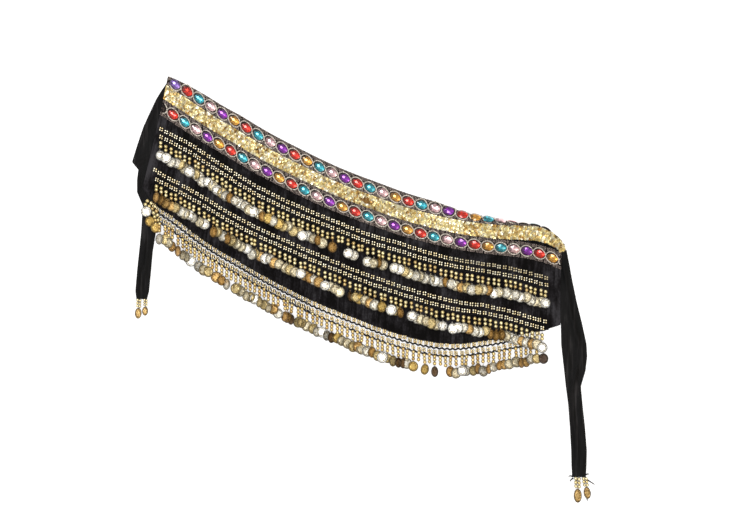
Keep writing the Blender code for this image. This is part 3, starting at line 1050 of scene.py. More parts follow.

# %% [markdown]
# A dark oval lies under each jewel, a little wider than it, and a pale cord runs round it. The cord isn't one
# ring for each jewel: two cords cross between neighbours, first one above the row and then the other, like a
# chain. So a cord's distance from the row is a cosine with its sign kept and its size flattened by a power
# below one.

# %% Settings and their cords
SETTING_PROFILE = ((8.5, -0.9), (9.2, -0.4), (9.2, 0.15), (8.5, 0.35))
SETTING_SIDES = 18
SETTING_SQUEEZE = 0.78
SETTING_LIFT = STRIP_HIGH + 0.35
CHAIN_HEIGHT = 7.9
CHAIN_POWER = 0.5
CHAIN_CORD = 0.72
CHAIN_STEP = 0.04
CHAIN_LIFT = STRIP_HIGH + 0.75
CHAIN_CROSSING = 0.55


def setting_finish():
    """Dark and a little metallic, with a grain of noise."""
    made = finish_of("setting_dark", {"Roughness": 0.45, "Metallic": 0.4})
    grain = noise(made, pattern_place(made, 9), 3.0)
    shade(made, "Base Color", ramped(made, grain, (0.3, (0.006, 0.005, 0.005)), (0.8, (0.05, 0.04, 0.035))))
    bumped(made, grain, 0.15)
    return made


setting = revolved(SETTING_PROFILE, SETTING_SIDES, SETTING_SQUEEZE)
places = clear_of_floor(setting, points + off * SETTING_LIFT, axes)
piece("jewel_settings", copies(setting, places, axes), setting_finish())


def chain(row, marks, firsts, last):
    """Two crossing cords along a row of jewels. firsts and last are jewel numbers, with a fraction where a
    cord starts or stops between two jewels."""
    cords = []
    for sign, first in zip((1, -1), firsts):
        number = np.arange(first, last, CHAIN_STEP)
        c = marked_row(row, marks, number)
        wave = np.cos(np.pi * (number - 1))
        height = row(c) + sign * CHAIN_HEIGHT * np.sign(wave) * np.abs(wave) ** CHAIN_POWER
        points, _, _, off = surface(c, height)
        lift = CHAIN_LIFT + sign * CHAIN_CROSSING * np.sin(np.pi * (number - 1))
        path = points + off * lift[:, None]
        path[:, 2] = np.maximum(path[:, 2], CHAIN_CORD + OFF_FLOOR)
        cords.append(tube(path, CHAIN_CORD, off, 6))
    return together(*cords)


chains = together(
    chain(jewel_row, LOWER_MARKS, (0.22, 0.22), 31.62),
    chain(upper_row, UPPER_MARKS, (1.46, 0.62), 28.5),
)
piece("jewel_cords", chains, silver_cord)

# %% [markdown]
# ## Sequins
#
# The band between the braids is packed with cupped sequins that overlap like roof tiles. A sequin is a thin
# dished disc: eight sides are enough at this size. They are laid in rows, each leaning on the one before it,
# and every one leans a little differently, so that the band glitters in patches rather than as one sheet.

# %% The sequins' finish
def metal_finish(name, roughness, metallic, wear):
    """Bright thin metal in each copy's own tint, with duller and darker spots. wear is how fine they are."""
    made = finish_of(name, {"Metallic": metallic})
    spots = noise(made, room_place(made, wear), 2.0)
    tone = ramped(made, spots, (0.3, (0.72, 0.70, 0.66)), (0.6, (1.0, 1.0, 1.0)))
    shade(made, "Base Color", tinted(made, tone))
    shade(made, "Roughness", sums(made, "MULTIPLY_ADD", spots, 0.2, roughness - 0.1))
    return made


# %% The sequin band
SEQUIN_RADIUS = 2.6
SEQUIN_PROFILE = tuple(
    (SEQUIN_RADIUS * share, height)
    for share, height in ((0.45, -0.35), (1.0, 0.0), (0.96, 0.14), (0.45, -0.18))
)
SEQUIN_ROWS = 7
SEQUIN_PITCH = 3.0
SEQUIN_LEAN = 0.30
SEQUIN_LIFT = FACE + 1.15
# The tints are partly the sequins' own gold and partly painted light: the palest are painted glints and the
# darkest painted shade in the gaps.
SEQUIN_TINTS_AND_PAINTED_LIGHT = np.array([
    (1.0, 0.95, 0.72), (0.95, 0.82, 0.42), (0.84, 0.66, 0.27), (0.68, 0.42, 0.12), (0.34, 0.21, 0.08),
])
SEQUIN_SHARES = (0.30, 0.35, 0.19, 0.10, 0.06)
SEQUIN_ENDS = np.array([LEFT_END + 2.0, RIGHT_END - 1.0])
SEQUIN_INSET = 0.6
SEQUIN_STRAY = 0.35
SEQUIN_TILT = 0.17
LOOSE_SEQUINS = 16
LOOSE_REACH = 3.0
MARK_PLACE = (5.6, 136.0)
MARK_HALF = (10.0, 3.4)
MARK_SLOPE = np.tan(np.radians(-20.0))
MARK_SHADE = (0.44, 0.28, 0.15)


def darkened_mark(points, tint):
    """The tints, darker within an oval that slopes with the band: a brown stain near its middle."""
    beside, above = points[:, 0] - MARK_PLACE[0], points[:, 1] - MARK_PLACE[1]
    from_centre = np.hypot(beside / MARK_HALF[0], (above - MARK_SLOPE * beside) / MARK_HALF[1])
    return np.where(from_centre[:, None] < 1, tint * MARK_SHADE, tint)


def sequin_band():
    """Rows of sequins at even steps up the band, every second row half a step on, with a few loose ones past
    the right end, where the band was cut."""
    random = np.random.default_rng(21)
    all_c, all_u = [], []
    for k in range(SEQUIN_ROWS):
        share = (k + 0.5) / SEQUIN_ROWS

        def height(c, share=share):
            return station(c, "sequins") + SEQUIN_INSET + (SEQUIN_WIDTH - SEQUIN_INSET) * share

        first, last = middle(SEQUIN_ENDS, height(SEQUIN_ENDS))[:, 0]
        row = columns_along(height, first + SEQUIN_PITCH / 2 * (k % 2), last, SEQUIN_PITCH)
        all_c.append(row)
        all_u.append(height(row))
    loose_c = RIGHT_END + random.uniform(-LOOSE_REACH, LOOSE_REACH, LOOSE_SEQUINS)
    loose_u = station(loose_c, "sequins") + random.uniform(0, SEQUIN_WIDTH, LOOSE_SEQUINS)
    c = np.concatenate(all_c + [loose_c])
    u = np.concatenate(all_u + [loose_u])
    c = c + random.normal(0, SEQUIN_STRAY, len(c))
    u = u + random.normal(0, SEQUIN_STRAY, len(c))
    points, across, _, off = surface(c, u)
    up = unit(np.cross(off, across))
    axes = np.stack([across, up, off], axis=1)
    axes = turned(axes, up, SEQUIN_LEAN + random.normal(0, SEQUIN_TILT, len(c)))
    axes = turned(axes, across, random.normal(-0.05, SEQUIN_TILT, len(c)))
    # Each sequin draws a tint from the list, some of them painted glints and painted shade.
    tint = SEQUIN_TINTS_AND_PAINTED_LIGHT[random.choice(len(SEQUIN_TINTS_AND_PAINTED_LIGHT), len(c), p=SEQUIN_SHARES)]
    tint = darkened_mark(points, tint * random.uniform(0.85, 1.05, (len(c), 1)))
    lift = SEQUIN_LIFT + random.uniform(-0.1, 0.25, len(c))
    print("sequins:", len(c))
    return copies(revolved(SEQUIN_PROFILE, 8), points + off * lift[:, None], axes, tint)


sequin_metal = metal_finish("sequin_metal", 0.30, 0.75, 500)
piece("sequins", sequin_band(), sequin_metal, ["sequin_band"], crisp=35.0)

# %% [markdown]
# Between the sequins the tape that they are sewn to shows through, in a browner gold.

# %% The sequins' backing
BACKING_TINT = (0.42, 0.29, 0.13)
BACKING_HIGH = FACE + 0.6


def backing_foot(c):
    return station(c, "sequins") + 0.4


def backing_head(c):
    return station(c, "sequins") + SEQUIN_WIDTH - 0.2


backing = strip(backing_foot, backing_head, STRIP_LOW, BACKING_HIGH, rows=7)
backing.tint = backing.tint * BACKING_TINT
piece("sequin_backing", backing, sequin_metal)

# %% [markdown]
# ## Bead nets
#
# Each tier hangs from two rows of small squares, and each square is four gold seed beads caught in black
# crochet thread. On the first two tiers the rows lie on the velvet. On the third they are an open net below
# the hem. One seed bead is a short turned barrel. The square's upright side follows the column of cloth and
# its level side leans part of the way to the row, as the beads do on the real thing.

# %% Squares of seed beads
# Beads first, then the squares of four, then the rows. Where the tiers differ, a value is kept for each.
TIERS = (1, 2, 3)
SEED_PROFILE = ((0.75, -1.20), (1.30, -0.80), (1.30, 0.80), (0.75, 1.20))
SEED_LIFT = 1.55
# How dark the painted shade on a seed bead's underside gets.
SEED_PAINTED_SHADE = 0.25
SEED_STRAY = 0.08
BEAD_TURN = 0.12
SEED_SIZE = {1: 1.0, 2: 1.0, 3: 1.22}
SEED_STEP = {1: 3.3, 2: 3.3, 3: 3.05}
SQUARE_PITCH = 8.1
ROW_APART = 10.7
ROW_TILT = 0.42
SQUARE_STRAY = (0.35, 0.3)
SEED_TINTS = np.array([(1.0, 0.94, 0.74), (0.96, 0.84, 0.56), (0.84, 0.68, 0.38)])
BEAD_TINTS = np.array([(1.0, 0.87, 0.50), (0.90, 0.74, 0.36), (0.70, 0.51, 0.22)])
BEAD_SHARES = (0.42, 0.42, 0.16)
NET_TINTS = SEED_TINTS * (0.80, 0.73, 0.60)
TIER_FIRST = {1: (-300.6, -300.8), 2: (-310.3, -307.5), 3: (-312.0, -309.5)}
TIER_LAST = {1: 281.0, 2: 277.0, 3: 268.0}
HEM_ROW = 3.7
NET_BASE = {1: FACE + 0.15, 2: FACE + 0.15, 3: 0.1 - FACE}


def square_row(number, row, c):
    """The height over the jewels of a tier's upper row of squares, which is row 0, or of its lower one."""
    top = -station(c, "hem") - HEM_ROW if number == 3 else -station(c, "tier_%d" % number)
    return top - ROW_APART * row


def bead_tints(random, count, tints):
    """A tint for each bead, drawn from the list in the shares of BEAD_SHARES and made a little uneven."""
    tint = tints[random.choice(len(tints), count, p=BEAD_SHARES)]
    return tint * random.uniform(0.85, 1.06, (count, 1))


LIT_FROM = 0.85


def painted_shade_below(shape, deepest_painted_shade):
    """The shape with painted shade in its tint: the tint fades down its sides, from LIT_FROM of its height to
    a dark middle and underside, as a bead lit from above looks. Its own X points off the cloth."""
    height = shape.points[:, :1] / shape.points[:, 0].max()
    shape.tint = shape.tint * (deepest_painted_shade + (1 - deepest_painted_shade) * ease(height / LIT_FROM))
    return shape


def threaded(random, upward, off):
    """Axes for beads on threads that run down the column, each turned a little out of line."""
    axes = np.stack([off, unit(np.cross(upward, off)), upward], axis=1)
    return turned(axes, off, random.normal(0, BEAD_TURN, len(off)))


def squares(number, base):
    """Two rows of squares of seed beads for one tier, base above the wall's middle. Returns the beads and the
    columns of the lower row, where the threads of the fringe start."""
    random = np.random.default_rng(30 + number)
    seed = painted_shade_below(revolved(SEED_PROFILE, 8), SEED_PAINTED_SHADE)
    step = SEED_STEP[number]
    tints = NET_TINTS if number == 3 else SEED_TINTS
    made = []
    for row in (0, 1):
        height = functools.partial(square_row, number, row)
        c = columns_along(height, TIER_FIRST[number][row], TIER_LAST[number], SQUARE_PITCH)
        c = c + random.normal(0, SQUARE_STRAY[0], len(c))
        u = height(c) + random.normal(0, SQUARE_STRAY[1], len(c))
        points, across, upward, off = surface(c, u)
        level = unit(np.cross(upward, off))
        level = unit(level + ROW_TILT * (across - level))
        for side in (-0.5, 0.5):
            for up in (-0.5, 0.5):
                place = points + level * step * side + upward * step * up
                place = place + off * (base + SEED_LIFT) + random.normal(0, SEED_STRAY, points.shape)
                axes = threaded(random, upward, off) * SEED_SIZE[number]
                place = clear_of_floor(seed, place, axes)
                made.append(copies(seed, place, axes, bead_tints(random, len(c), tints)))
    return together(*made), c


bead_gold = metal_finish("bead_gold", 0.26, 0.7, 900)
fringe_columns = {}
for number in TIERS:
    beads, fringe_columns[number] = squares(number, NET_BASE[number])
    piece("net_beads_%d" % number, beads, bead_gold, ["bead_net_%d" % number])

# %% [markdown]
# The crochet thread runs in scallops just below each row. On the velvet it barely shows, but on the open net
# of the third tier it is the strongest line of the whole scarf.

# %% Crochet threads
SCALLOP_DROP = {1: 4.4, 2: 4.4, 3: 4.9}
SCALLOP_DEPTH = {1: 0.5, 2: 0.5, 3: 0.85}
THREAD_RADIUS = {1: 0.55, 2: 0.55, 3: 1.3}
THREAD_LIFT = 1.1
ZIGZAG_HEIGHT = 3.4
ZIGZAG_RADIUS = 0.6
ZIGZAG_LIFT = 2.7
ZIGZAG_LAST = -60.0
HEM_CORD = 1.1
HEM_DROP = 0.7
HEM_WAVE = 0.35
HEM_LIFT = 0.15
HEM_LAST = TIER_LAST[3] + 14


def per_square(s):
    """A sine of the length along a row, one turn for each square of beads."""
    return np.sin(2 * np.pi * s / SQUARE_PITCH)


def threads(number, base):
    """Black cords below both rows of a tier: the row's height, less a drop, and a sine on top of it. The open
    net has a finer one too, worked in and out between the squares of its left half."""
    first, last = fringe_columns[number][[0, -1]]
    cords = []
    for row in (0, 1):
        def scallops(c, s, row=row):
            wave = SCALLOP_DEPTH[number] * per_square(s)
            return square_row(number, row, c) - SCALLOP_DROP[number] + wave

        def zigzag(c, s, row=row):
            return square_row(number, row, c) + ZIGZAG_HEIGHT * per_square(s)

        radius = THREAD_RADIUS[number]
        cords.append(cord_along(scallops, steady(base + THREAD_LIFT), radius, first, last, 0.9, 6))
        if number == 3:
            lift = steady(base + ZIGZAG_LIFT)
            cords.append(cord_along(zigzag, lift, ZIGZAG_RADIUS, first, ZIGZAG_LAST, 0.6, 4))
    return together(*cords)


def hem_line(c, s):
    """The path of the cord that sews the third tier on. It winds along the hem's edge."""
    return -station(c, "hem") - HEM_DROP + HEM_WAVE * per_square(s)


for number in TIERS:
    piece("net_threads_%d" % number, threads(number, NET_BASE[number]), black_thread)
hem = cord_along(hem_line, steady(HEM_LIFT), HEM_CORD, LEFT_END, HEM_LAST, 1.2, 6)
piece("hem_cord", hem, black_thread)

# %% [markdown]
# ## The fringes
#
# From every square of the lower row a thread hangs straight down with gold beads on it and a coin at its
# end. The coins are wider than the threads are apart, so each leans on its neighbour. Where hands have swept
# along the row the coins all lean one way, and where one has flipped up it lies flat on top of the rest and
# flashes. The places of those are listed, and the rest follow seeded chance.

# %% Beads of the fringes
ROUND_RADIUS = 2.95
SLIM_RADIUS = 2.75
SLIM_HALF = 2.9
HOLE_ANGLE = {"round": 0.35, "slim": 0.4}
DROPS = {
    1: (("round", 10.1), ("round", 15.9)),
    2: (("round", 10.1), ("round", 15.9)),
    3: (("slim", 6.8), ("slim", 12.0), ("slim", 17.2)),
}
DROP_SPREAD = 0.9
SWAY = 0.7
CLUSTER_HIGH = 4.5
CLUSTER = (
    (-323.9, 129.3), (-321.0, 134.5), (-318.6, 126.4), (-315.5, 131.2), (-313.9, 122.6), (-309.8, 126.0),
    (-311.9, 116.6), (-307.6, 119.6), (-310.3, 110.9), (-305.9, 113.4), (-305.2, 106.0),
)
DANGLE_TINTS = {1: BEAD_TINTS, 2: BEAD_TINTS, 3: BEAD_TINTS * (0.94, 0.84, 0.68)}
UNDER_FROM = 150.0
UNDER_RUN = 30.0
UNDER_RISE = 2.6
BEAD_RISE = 0.6


def bead(radius, half, hole, rings, deepest_painted_shade):
    """A bead turned from a circle's arc, which stops at the angle of the hole, with its radius."""
    arc = np.linspace(hole, np.pi - hole, rings)
    profile = np.stack([radius * np.sin(arc), -half * np.cos(arc)], axis=1)
    return painted_shade_below(revolved(profile, 10), deepest_painted_shade), radius


# The last number of each bead is how dark its painted shade gets underneath.
BEAD_FORMS = {
    "round": bead(ROUND_RADIUS, ROUND_RADIUS, HOLE_ANGLE["round"], 7, 0.16),
    "slim": bead(SLIM_RADIUS, SLIM_HALF, HOLE_ANGLE["slim"], 6, 0.12),
}


def hanging(number, c, drop):
    """The surface under a thread that hangs straight down from the lower row, a drop below it."""
    start = square_row(number, 1, c)
    return surface(c, start - drop, -start)


def raised_over_hem(number, c):
    """Tier 2's coins cross the hem's own tier at the right, so they lie a little higher there."""
    return UNDER_RISE * ease((c - UNDER_FROM) / UNDER_RUN) if number == 2 else 0 * c


def fringe_beads(number, c, sway, base):
    """The beads of every thread of a tier. sway is how far each thread has moved along the row."""
    random = np.random.default_rng(40 + number)
    made = []
    slack = random.normal(0, DROP_SPREAD, len(c))
    for form, drop in DROPS[number]:
        shape, radius = BEAD_FORMS[form]
        at = drop + slack + random.normal(0, 0.2, len(c))
        share = at / DROPS[number][-1][1]
        points, _, upward, off = hanging(number, c + sway * share, at)
        lift = base + radius + 0.1 + raised_over_hem(number, c) * BEAD_RISE * share
        axes = threaded(random, upward, off)
        tint = bead_tints(random, len(c), DANGLE_TINTS[number])
        made.append(copies(shape, points + off * lift[:, None], axes, tint))
    return together(*made)


def end_cluster():
    """Where the third tier begins, the last threads are drawn together and their beads lie in a heap."""
    shape, radius = BEAD_FORMS["round"]
    places = np.array([(*place, CLUSTER_HIGH + radius) for place in CLUSTER])
    axes = np.broadcast_to(np.stack([UP, EAST, NORTH]), (len(places), 3, 3))
    return copies(shape, places, axes, bead_tints(np.random.default_rng(47), len(places), BEAD_TINTS))


sways = {}
for number in TIERS:
    count = len(fringe_columns[number])
    sways[number] = np.random.default_rng(50 + number).normal(0, SWAY, count)
    shape = fringe_beads(number, fringe_columns[number], sways[number], NET_BASE[number])
    if number == 3:
        shape = together(shape, end_cluster())
    piece("fringe_beads_%d" % number, shape, bead_gold)

# %% [markdown]
# A coin is a thin disc with a raised rim. Its relief is too fine for hundreds of meshes, so the material
# makes it from the coin's own pattern coordinates, which run from -1 to 1 across the disc. A ring of dots
# and an eight-petalled flower are worked out from the distance to the centre and the angle round it.

# %% The coins' finish
DOTS = 22.0
PETALS = 8.0
DOT_RING = 0.80
GROOVE = 0.62
FLOWER = 0.36
PETAL_REACH = 0.13


def ring_at(made, radius, place, sharpness):
    """A number that is 1 on a circle about the coin's centre and falls to 0 on both sides of it."""
    away = sums(made, "ABSOLUTE", sums(made, "SUBTRACT", radius, place))
    return sums(made, "MAXIMUM", sums(made, "SUBTRACT", 1.0, sums(made, "MULTIPLY", away, sharpness)), 0.0)


def coin_finish():
    """Stamped metal: dots and a flower stand up, a groove goes down, and the low places are tarnished."""
    made = finish_of("coin_metal", {"Metallic": 0.55})
    chart = node(made, "UVMap", uv_map="pattern").outputs[0]
    split = node(made, "SeparateXYZ", {0: chart}).outputs
    radius = node(made, "VectorMath", {0: chart}, operation="LENGTH").outputs["Value"]
    angle = sums(made, "ARCTAN2", split["Y"], split["X"])
    dots = sums(made, "SINE", sums(made, "MULTIPLY", angle, DOTS))
    ring = sums(made, "MULTIPLY", ring_at(made, radius, DOT_RING, 11.0), sums(made, "MAXIMUM", dots, 0.0))
    groove = ring_at(made, radius, GROOVE, 10.0)
    petals = sums(made, "COSINE", sums(made, "MULTIPLY", angle, PETALS))
    reach = sums(made, "MULTIPLY_ADD", petals, PETAL_REACH, FLOWER)
    inside = sums(made, "MULTIPLY", sums(made, "SUBTRACT", reach, radius), 8.0)
    flower = node(made, "Clamp", {0: inside}).outputs[0]
    relief = sums(made, "SUBTRACT", sums(made, "ADD", ring, flower), groove)
    wear = noise(made, room_place(made, 420), 3.0)
    shown = sums(made, "MULTIPLY_ADD", relief, 0.16, wear)
    tarnish, dull, bright = (0.20, 0.15, 0.09), (0.82, 0.78, 0.69), (1.0, 1.0, 1.0)
    tone = ramped(made, shown, (0.30, tarnish), (0.46, dull), (0.62, bright))
    shade(made, "Base Color", tinted(made, tone))
    shade(made, "Roughness", sums(made, "MULTIPLY_ADD", wear, 0.25, 0.16))
    bumped(made, sums(made, "MULTIPLY_ADD", wear, 0.5, relief), 0.28)
    return made


# %% The coin and its ring
COIN_RADIUS = 8.0
COIN_PROFILE = ((7.7, -0.35), (8.0, 0.0), (7.9, 0.35), (7.5, 0.45), (7.0, 0.12), (5.4, 0.12))
COIN_SIDES = 18
EDGE_FROM = 6.9
# The tint of the coin's edge: a painted shadow.
EDGE_PAINTED_SHADOW = 0.22
RING_RADIUS = 1.25
RING_WIRE = 0.32


def coin():
    """A disc with a raised rim, darker round its edge as a painted shadow, and the small wire ring that it
    hangs by.
    """
    disc = revolved(COIN_PROFILE, COIN_SIDES)
    from_middle = np.hypot(disc.points[:, 0], disc.points[:, 1])
    # Painted shadow: points beyond EDGE_FROM get a dark tint, a dark outline where the coins shade one
    # another.
    disc.tint[from_middle > EDGE_FROM] = EDGE_PAINTED_SHADOW
    angle = np.linspace(0, 2 * np.pi, 8)
    path = np.stack([0 * angle, RING_RADIUS * np.sin(angle), RING_RADIUS * np.cos(angle)], axis=1)
    path = path + (0.0, COIN_RADIUS + RING_RADIUS * 0.6, 0.2)
    ring = tube(path, RING_WIRE, np.broadcast_to(EAST, path.shape), 3)
    ring.pattern = np.ones_like(ring.pattern)
    return together(disc, ring)


# %% Coins of the fringes
# FACE_UP, EDGE_ON, DARKENED_COINS, GILDED and BARE list places by X: each names the thread that is nearest.
COIN_DROP = {1: 28.6, 2: 28.6, 3: 28.0}
DROP_STRAY = 1.2
COIN_TINTS = np.array([(0.93, 0.90, 0.79), (0.88, 0.79, 0.56), (0.85, 0.68, 0.33), (0.70, 0.44, 0.15)])
COIN_SHARES = {1: (0.40, 0.33, 0.19, 0.08), 2: (0.38, 0.30, 0.20, 0.12), 3: (0.36, 0.28, 0.22, 0.14)}
COIN_LEANS = {1: (0.08, 0.36), 2: (0.08, 0.38), 3: (0.12, 0.85)}
FACE_UP = {
    1: (-307, -292, -257, -234, -217, -160, -86, -18, 57, 106, 198, 276),
    2: (-261, -239, -170, -148, -93, -56, 45, 75, 117, 139, 147, 222, 269),
    3: (-255, -163, -57, 28, 149),
}
EDGE_ON = {
    1: (-198, -145, -63, -45, 0, 27, 129, 187),
    2: (-309, -298, -221, -204, -75, -20, 58, 190, 200, 209),
    3: (-285, -277, -210, -117, -111, 13, 64, 96, 108, 134, 172, 193, 208, 241),
}
# The coins listed here lean steeply and take the dark UMBER tint.
DARKENED_COINS = {1: (-7,), 2: (-20,), 3: (-101, -42, 55, 64, 81, 111)}
GILDED = {1: (-143, -128), 2: (-2, 30), 3: (-35, 73, 95, 107)}
BARE = {
    1: (-54, -37, -30, -3, 3, 36),
    2: (-226, -28, 38, 63, 126),
    3: (-313, -307, -251, -224, -196, 87, 100, 118, 125),
}
SILVER = (1.0, 0.99, 0.94)
GOLD = (0.86, 0.60, 0.18)
BRONZE = (0.76, 0.45, 0.14)
UMBER = (0.24, 0.14, 0.06)
# A nearly black tint, for the loose coin at the right.
NEAR_BLACK = (0.12, 0.08, 0.06)
LEAN_RUN = 8
LEAN_SHARES = (0.35, 0.65)
FLAT_LEAN = 0.05
FLAT_RISE = 2.6
STEEP_LEANS = (0.6, 0.95)
DARK_LEAN = 0.85
COIN_LIFT = 0.6
COIN_PILE = 1.6
COIN_SIZES = (0.94, 1.07)
LOOSE_COINS = (
    ((-322.5, 118.5, 12.0), 0.06, SILVER),
    ((-317.5, 104.0, 7.5), 0.55, GOLD),
    ((-308.5, 94.5, 6.5), 0.4, GOLD),
    ((271.5, -101.5, 6.0), -0.5, NEAR_BLACK),
)


def nearest(places, x):
    """For each place, the index of the thread whose x is nearest."""
    return np.unique([int(np.argmin(np.abs(x - place))) for place in places])


def coins(number, c, sway, base):
    """The coins of one tier. A coin leans about the line it hangs from, and its centre is lifted by the
    radius times the sine of its lean, so that its low edge rests on the cloth."""
    random = np.random.default_rng(60 + number)
    count = len(c)
    drop = COIN_DROP[number] + random.normal(0, DROP_STRAY, count)
    points, _, upward, off = hanging(number, c + sway, drop)
    flat, steep, gilt, dark, bare = (
        nearest(places[number], points[:, 0]) for places in (FACE_UP, EDGE_ON, GILDED, DARKENED_COINS, BARE)
    )
    runs = np.repeat(random.choice((-1, 1), count // LEAN_RUN + 1, p=LEAN_SHARES), LEAN_RUN)[:count]
    lean = runs * random.uniform(*COIN_LEANS[number], count)
    lean[flat] = random.uniform(-FLAT_LEAN, FLAT_LEAN, len(flat))
    way = np.where(lean < 0, -1, 1)
    lean[steep] = way[steep] * random.uniform(*STEEP_LEANS, len(steep))
    lean[dark] = way[dark] * DARK_LEAN
    tint = COIN_TINTS[random.choice(len(COIN_TINTS), count, p=COIN_SHARES[number])]
    for group, colour in ((flat, SILVER), (steep, BRONZE), (gilt, GOLD), (dark, UMBER)):
        tint[group] = colour
    tint = tint * random.uniform(0.78, 1.03, (count, 1))
    lift = base + COIN_LIFT + COIN_RADIUS * np.abs(np.sin(lean)) + raised_over_hem(number, c)
    lift = lift + random.uniform(0, COIN_PILE, count)
    lift[flat] = lift[flat] + FLAT_RISE
    size = random.uniform(*COIN_SIZES, count)
    axes = np.stack([unit(np.cross(upward, off)), upward, off], axis=1)
    axes = turned(axes, axes[:, 0], random.normal(-0.06, 0.06, count))
    axes = turned(axes, upward, lean)
    axes = turned(axes, axes[:, 2], random.normal(0, 0.10, count)) * size[:, None, None]
    kept = np.ones(count, bool)
    kept[bare] = False
    origins = clear_of_floor(coin(), points + off * lift[:, None], axes)
    print("tier", number, "coins:", int(kept.sum()))
    return copies(coin(), origins[kept], axes[kept], tint[kept])


def placed_coins():
    """The coins that lie out of line, put down one by one, facing up but for a lean to the left or right."""
    places, leans, tints = (np.array(part) for part in zip(*LOOSE_COINS))
    axes = turned(np.tile(np.eye(3), (len(places), 1, 1)), np.tile(NORTH, (len(places), 1)), leans)
    return copies(coin(), places, axes, tints)


coin_metal = coin_finish()
for number in TIERS:
    shape = coins(number, fringe_columns[number], sways[number], NET_BASE[number])
    if number == 3:
        shape = together(shape, placed_coins())
    piece("coins_%d" % number, shape, coin_metal, ["coin_fringe_%d" % number], crisp=30.0)

# %% [markdown]
# Beads and coins need a thread to hang on. One thin cord for each column runs from the lower row to the ring
# of its coin, bent by the same sway. Every cord is the same ring of points carried along a straight line.

# %% Threads of the fringes
HANG_THREAD = {1: 0.30, 2: 0.30, 3: 0.55}
HANG_STEPS = 8
HANG_SIDES = 4
HANG_FROM = 1.5
HANG_LIFT = 1.2
HANG_ARCH = 0.9


def hang_threads(number, c, sway, base):
    """One cord for each column. It lies HANG_LIFT above the base and arches by a sine of its own length."""
    drops = np.linspace(HANG_FROM, COIN_DROP[number] - COIN_RADIUS - 0.5, HANG_STEPS)[:, None]
    share = drops / drops[-1]
    c = c[None] + sway[None] * share
    points, _, upward, off = hanging(number, c, drops + 0 * c)
    lift = base + HANG_LIFT + HANG_ARCH * np.sin(np.pi * share)
    lift = lift + raised_over_hem(number, c) * BEAD_RISE * share
    path = points + off * lift[..., None]
    side = unit(np.cross(upward, off))
    around = np.arange(HANG_SIDES) / HANG_SIDES * 2 * np.pi
    ring = side[:, :, None] * np.cos(around)[:, None] + off[:, :, None] * np.sin(around)[:, None]
    rings = (path[:, :, None] + HANG_THREAD[number] * ring).transpose(1, 0, 2, 3)
    starts = (np.arange(c.shape[1]) * HANG_STEPS * HANG_SIDES)[:, None, None]
    groups = [(group + starts).reshape(-1, group.shape[1]) for group in ring_faces(HANG_STEPS, HANG_SIDES)]
    return Shape(rings.reshape(-1, 3), groups)


hanging_threads = together(*[
    hang_threads(number, fringe_columns[number], sways[number], NET_BASE[number]) for number in TIERS
])
piece("fringe_threads", hanging_threads, black_thread)

# %% [markdown]
# ## The ends of the ties
#
# Each ribbon is gathered at its end with black thread, from which two pairs of short bead strings hang, each
# pair with an oval leaf of old gold: the same beads and coin as in the fringes, drawn out and placed one by
# one.

# %% Pendants
# Each row: the imported node, the x and y of its top, its length and width, and how far its foot swings aside.
PENDANTS = (
    ("pendant_left_1", -334.5, -12.8, 29.0, 10.0, -1.5),
    ("pendant_left_2", -324.6, -12.8, 24.5, 9.0, -1.0),
    ("pendant_right_1", 322.5, -279.8, 38.0, 12.5, 1.0),
    ("pendant_right_2", 333.5, -279.8, 32.5, 11.0, 5.5),
)
LEAF_SHARE = 0.56
STRAND_APART = 4.9
STRAND_SHARES = (0.12, 0.46, 0.80)
STRAND_REACH = 16.7
STRAND_STAGGER = 0.06
LEAF_LIFT = 2.4
LEAF_LEAN = 0.22
LEAF_THIN = 0.9
GOLD_LEAF = (0.60, 0.40, 0.15)


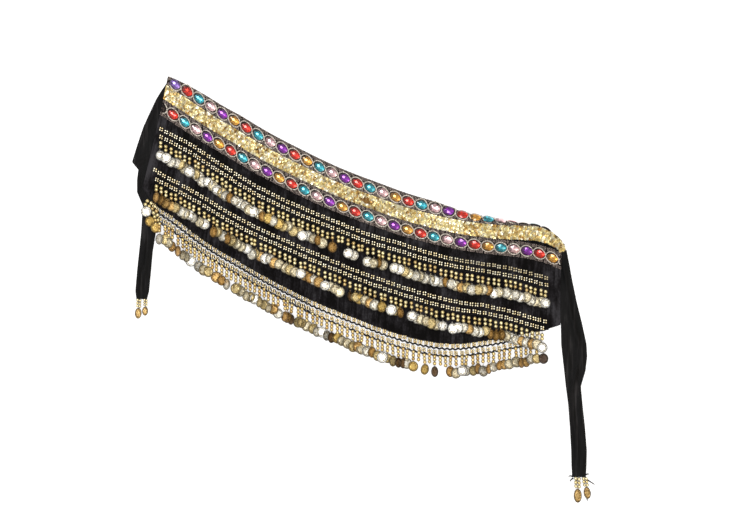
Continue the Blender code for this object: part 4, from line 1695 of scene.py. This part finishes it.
def pendant(node_name, x, head, length, width, swing):
    """Two strands of beads side by side from the ribbon's end, then an oval coin, all lying on the floor."""
    leaf_half = length * LEAF_SHARE / 2
    line = unit(np.array([swing, -length, 0.0]))
    side = np.array([-line[1], line[0], 0.0])
    top = np.array([x, head, 0.0])
    reach = length * (1 - LEAF_SHARE)
    shape, radius = BEAD_FORMS["slim"]
    size = reach / STRAND_REACH
    beads = []
    for strand in (-0.5, 0.5):
        for k, share in enumerate(STRAND_SHARES):
            drop = reach * (share + STRAND_STAGGER * strand)
            centre = top + line * drop + side * STRAND_APART * size * strand
            centre = centre + UP * (radius * size + 0.2)
            axes = np.stack([UP, side, -line]) * size
            beads.append(copies(shape, centre[None], axes[None], BEAD_TINTS[k % 2][None]))
    centre = top + line * (length - leaf_half) + UP * LEAF_LIFT
    stretch = np.array([width / 2 / COIN_RADIUS, leaf_half / COIN_RADIUS, LEAF_THIN])[:, None]
    axes = turned(np.stack([side, -line, UP])[None], -line[None], np.array([LEAF_LEAN]))[0] * stretch
    leaf = copies(coin(), centre[None], axes[None], np.array([GOLD_LEAF]))
    piece(node_name + "_beads", together(*beads), bead_gold)
    piece(node_name + "_leaf", leaf, coin_metal, [node_name], crisp=30.0)


for row in PENDANTS:
    pendant(*row)

# %% [markdown]
# ## Thread ends
#
# The gathering thread is wound round the ribbon's end and cut, and its ends stick out as short stiff tufts.

# %% Tufts of thread
TUFTS = (
    ((316.0, -279.0), (312.5, -276.5), (309.5, -278.5)),
    ((316.5, -281.0), (313.0, -283.0), (311.5, -286.0)),
    ((334.0, -277.0), (337.5, -274.0), (340.5, -275.0)),
    ((333.5, -280.5), (341.5, -286.0), (348.5, -290.5)),
    ((321.0, -280.0), (321.8, -283.0), (322.5, -286.0)),
    ((331.0, -280.0), (332.6, -283.0), (334.5, -286.0)),
    ((337.0, -308.0), (337.4, -311.5), (337.4, -315.0)),
    ((-334.5, -11.5), (-334.8, -14.0), (-334.8, -16.5)),
    ((-325.5, -11.5), (-325.2, -14.0), (-325.0, -16.5)),
)
TUFT_RADIUS = 1.15
TUFT_HIGH = 1.1
TUFT_TAPER = 0.45


def tuft(corners):
    """A short cord from the first place to the third, bent towards the second and thinning as it goes: the
    path is start * (1 - t)^2 + 2 * bend * t * (1 - t) + end * t^2."""
    t = np.linspace(0, 1, 9)[:, None]
    start, bend, end = (np.array([*corner, TUFT_HIGH]) for corner in corners)
    path = start * (1 - t) ** 2 + 2 * bend * t * (1 - t) + end * t ** 2
    thin = TUFT_RADIUS * (1 - TUFT_TAPER * t[:, 0])
    return tube(path, thin, np.broadcast_to(UP, path.shape), 6)


piece("thread_ends", together(*[tuft(corners) for corners in TUFTS]), black_thread)
